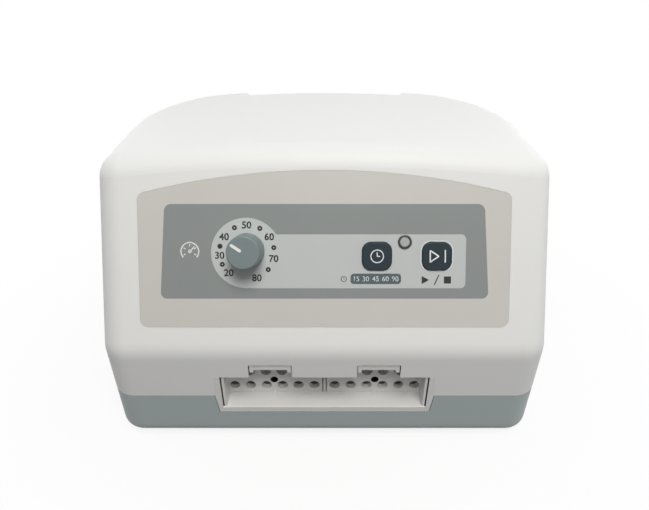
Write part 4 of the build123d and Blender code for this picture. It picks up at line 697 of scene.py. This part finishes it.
# %% Ink finishes
def screen_ink(name, colour):
    recipe = Recipe(name)
    mottle = recipe.noise(1500.0, 2.0)
    tone = recipe.blend(mottle, shade(colour, 0.85), shade(colour, 1.15))
    return recipe.surface(base_color=tone, roughness=mottle * 0.16 + 0.34, specular_ior_level=0.4)


dark_ink = screen_ink("dark_ink", rgb(0.016, 0.018, 0.019))
pale_ink = screen_ink("pale_ink", rgb(0.80, 0.82, 0.81))
print("inks ready")

# %% [markdown]
# ## The dial's scale
# The scale runs clockwise from 20 to 80 round the knob, with a dot halfway between two numbers. The numbers
# stand upright, so only their places turn round the dial. Each angle is measured clockwise from straight up.
# The dots are thick rings with a pinhole, apart from one that is filled.

# %% Numbers and dots round the dial
scale_radius = 16.1
scale_place = face_turn(-45.6, 60.4, film_top)
number_height, number_weight, number_spacing = 3.9, 0.14, 1.02
numbers = bmesh.new()
for text, angle in (("20", -138), ("30", -96), ("40", -55), ("50", 0), ("60", 55), ("70", 103), ("80", 159)):
    number = figures(text, number_height, number_weight, number_spacing)
    add(numbers, number, round_place(scale_radius, angle))
printed("dial_numbers", numbers, scale_place, "case", dark_ink)

dot_radius, dot_stroke, dot_segments = 1.5, 1.1, 24
filled_dot = -77
dots = bmesh.new()
for angle in (-116, filled_dot, -26, 29, 80, 129):
    if angle == filled_dot:
        dot = disc(dot_radius, dot_segments)
    else:
        dot = ring(dot_radius, dot_stroke, dot_segments)
    add(dots, dot, round_place(scale_radius, angle))
printed("dial_dots", dots, scale_place, "case", dark_ink)

# %% [markdown]
# ## Marks beside the dial and keys
# A label beside the dial says what it sets. A small gauge sign does that without words: three quarters of a
# ring with marks, a needle and a hub. The sign for minutes is a clock, and under the start key a triangle, a
# slash and a square stand for start and stop. They are drawn with the same bars and outlines as everything
# else.


# %% Gauge sign, clock sign and start-stop sign
def open_ring(radius, stroke, gap):
    """A ring with its lowest part left out, gap degrees wide."""
    shape = ring(radius, stroke, 60)
    low = []
    for face in shape.faces:
        middle = face.calc_center_median()
        if abs(math.degrees(math.atan2(middle.x, -middle.y))) < gap / 2:
            low.append(face)
    bmesh.ops.delete(shape, geom=low, context="FACES")
    return shape


gauge_place = face_turn(-79.0, 61.0, film_top)
mark_radius = 3.6
gauge = open_ring(5.6, 0.75, 96)
for angle in (-120, -60, 0, 60, 120):
    add(gauge, bar(1.5, 0.6), round_place(mark_radius, angle, angle - 90))
add(gauge, bar(4.6, 0.7), flat_place(1.2, 1.2, -45))
add(gauge, disc(1.1, 20), flat_place(0, 0))
printed("gauge_sign", gauge, gauge_place, "case", pale_ink)


def clock(radius, stroke):
    """A ring with two hands at three o'clock."""
    shape = ring(radius, stroke, 40)
    add(shape, bar(radius * 0.66, stroke), flat_place(0, radius * 0.26, 90))
    add(shape, bar(radius * 0.5, stroke), flat_place(radius * 0.2, 0))
    return shape


minutes_place = face_turn(11.4, 44.7, film_top)
printed("minutes_sign", clock(1.75, 0.36), minutes_place, "case", dark_ink)

start_stop_place = face_turn(66.0, 44.1, film_top)
start_stop = outline([(-8.8, -2.4), (-4.3, 0), (-8.8, 2.4)], 0.4)
add(start_stop, bar(6.6, 0.65), flat_place(0, 0, -66))
add(start_stop, outline([(4.3, -2.1), (8.5, -2.1), (8.5, 2.1), (4.3, 2.1)], 0.35), flat_place(0, 0))
printed("start_stop_sign", start_stop, start_stop_place, "case", dark_ink)

# %% [markdown]
# ## Minutes in the window
# Five small lamps behind the smoked window light one of five times. The numbers are printed on the window's
# face, each over its lamp, so their places are those of the lamps and not an even share of the window.

# %% Window numbers
window_place = face_turn(30.2, 44.75, film_top)
time_height, time_weight, time_spacing = 2.9, 0.004, 0.98
times = bmesh.new()
for text, x in (("15", -11.6), ("30", -5.9), ("45", -0.1), ("60", 5.7), ("90", 11.4)):
    add(times, figures(text, time_height, time_weight, time_spacing), flat_place(x, 0))
printed("window_numbers", times, window_place, "case", pale_ink)

# %% [markdown]
# ## Signs on the keys
# A key's sign is printed on its cap and has to move with it, so these two pieces ride on the keys and not on
# the case. The first is a clock for the time key. The second is a hollow triangle against an upright line,
# which steps from one state to the next.

# %% Key signs
key_top = 1.6
time_cap = face_turn(*time_key_place, key_top)
printed("time_key_sign", clock(4.0, 0.62), time_cap, "time_key", pale_ink)

start_cap = face_turn(*start_key_place, key_top)
step_stroke = 0.8
step_sign = outline([(-4.6, -4.1), (1.6, 0), (-4.6, 4.1)], 1.1, step_stroke)
add(step_sign, bar(7.6, step_stroke), flat_place(4.6, 0, 90))
printed("start_key_sign", step_sign, start_cap, "start_key", pale_ink)

# %% [markdown]
# ## Marks on the power switch
# A rocker carries a line on the end that switches on and a ring on the end that switches off. Its face is a
# shallow V, and at rest the rocker is tipped towards off, so each mark is laid on its own slope. The slopes
# are worked out from the rocker's half length and the depth of the V, and then turned with the rocker.

# %% Line and ring on the rocker
rocker_tip = math.radians(6)
rocker_half, rocker_dish, rocker_reach = 7.55, 1.6, 5.6
switch = next(joint for joint in frame["record"]["behaviour"]["joints"] if joint["name"] == "power_rock")
tipped = Matrix.Translation(Vector(switch["pos_m"])) @ Matrix.Rotation(rocker_tip, 4, "X")


def rocker_place(end):
    """The middle of one slope of the rocker: end is 1 for the upper one and -1 for the lower one."""
    climb = Vector((0, end * rocker_dish, rocker_half)).normalized()
    out = Vector((0, climb.z, -climb.y))
    lean = Matrix((Vector((-1, 0, 0)), climb, out)).transposed().to_4x4()
    middle = Vector((0, rocker_reach - rocker_dish / 2, end * rocker_half / 2)) * MM
    return tipped @ Matrix.Translation(middle) @ lean @ Matrix.Scale(MM, 4)


rocker_marks = bmesh.new()
for end, mark in ((1, bar(3.4, 0.7)), (-1, ring(1.7, 0.6, 32))):
    thicken(mark)
    add(rocker_marks, mark, rocker_place(end) @ flat_place(0, 0, 90))
piece("rocker_marks", rocker_marks, "power_rocker", pale_ink)

# %% [markdown]
# ## Studio
# The unit stands on a pale floor under one large soft lamp, high and a little in front, so the top is the
# brightest plane, the sloping face comes next and the upright front wall is clearly darker. A cool lamp from
# above and behind reaches only the top, and four weaker lamps open the sides and back. All lamps are large
# discs aimed at the unit's middle, because a small lamp would throw hard shadows.


# %% Lamps
def lamp(name, place, size, power, colour):
    data = bpy.data.lights.new(name, "AREA")
    data.shape, data.size, data.energy, data.color = "DISK", size, power, colour
    made = bpy.data.objects.new(name, data)
    made.location = place
    made.rotation_euler = (unit_middle - Vector(place)).to_track_quat("-Z", "Y").to_euler()
    bpy.context.scene.collection.objects.link(made)


unit_middle = Vector((0, 0, 0.09))
plain, warm, cool = (1.0, 1.0, 1.0), (1.0, 0.99, 0.965), (0.60, 0.84, 1.0)
lamps = (
    ("key_lamp", (0.12, -0.66, 1.33), 0.72, 15.6, warm),
    ("top_lamp", (0.0, 0.75, 1.25), 0.9, 1.3, cool),
    ("left_lamp", (-1.4, 0.2, 0.40), 1.2, 0.4, plain),
    ("right_lamp", (1.4, -0.1, 0.40), 1.2, 2.6, plain),
    ("back_left_lamp", (-1.25, 1.0, 0.25), 1.8, 7.6, plain),
    ("back_right_lamp", (1.25, 1.0, 0.25), 1.8, 6.4, plain),
)
for name, place, size, power, colour in lamps:
    lamp(name, place, size, power, colour)
print("lamps", len(lamps))

# %% [markdown]
# ## Floor and background
# The floor looks white to the camera, but to the object it is a mid grey, because a truly white floor would
# light the front wall from below. What shows near the object is mixed from a floor that takes its shadow and
# a white glow, and the glow grows with the distance, so the floor has no visible end.

# %% Floor and background
floor_size = 6.0
glow_near, glow_reach = 0.74, 1.2
floor_shape = bmesh.new()
bmesh.ops.create_grid(floor_shape, x_segments=1, y_segments=1, size=floor_size)
floor_mesh = bpy.data.meshes.new("studio_floor")
floor_shape.to_mesh(floor_mesh)
floor_shape.free()
floor = bpy.data.objects.new("studio_floor", floor_mesh)
bpy.context.scene.collection.objects.link(floor)


def seen(recipe):
    """1 for rays that show the background: straight to the camera, off gloss or through glass."""
    rays = recipe.node("ShaderNodeLightPath").socket.node.outputs
    kinds = [Flow(recipe, rays[name]) for name in ("Is Camera Ray", "Is Glossy Ray", "Is Transmission Ray")]
    return kinds[0].greatest(kinds[1]).greatest(kinds[2])


floor_recipe = Recipe("studio_floor")
shadowed = floor_recipe.node("ShaderNodeBsdfDiffuse", {}, {"Color": rgb(0.9, 0.9, 0.9)})
glow = floor_recipe.node("ShaderNodeEmission", {}, {"Color": rgb(1, 1, 1), "Strength": 1.0})
floor_x, floor_y, _ = floor_recipe.axes()
distance = (floor_x * floor_x + floor_y * floor_y).root()
glowing = (distance / glow_reach + glow_near).clamped()
pale = floor_recipe.node("ShaderNodeMixShader", {}, {0: glowing, 1: shadowed, 2: glow})
dim = floor_recipe.node("ShaderNodeBsdfDiffuse", {}, {"Color": rgb(0.19, 0.19, 0.19)})
ground = floor_recipe.node("ShaderNodeMixShader", {}, {0: seen(floor_recipe), 1: dim, 2: pale})
floor_mesh.materials.append(floor_recipe.finish(ground))

sky_light = 0.15
world = bpy.data.worlds.new("studio_world")
bpy.context.scene.world = world
sky = Recipe("studio_world", world)
strength = seen(sky) * (1 - sky_light) + sky_light
background = sky.node("ShaderNodeBackground", {}, {"Color": rgb(1, 1, 1), "Strength": strength})
sky.finish(background, "ShaderNodeOutputWorld")
bpy.context.scene.view_settings.view_transform = "Standard"
print("studio ready")
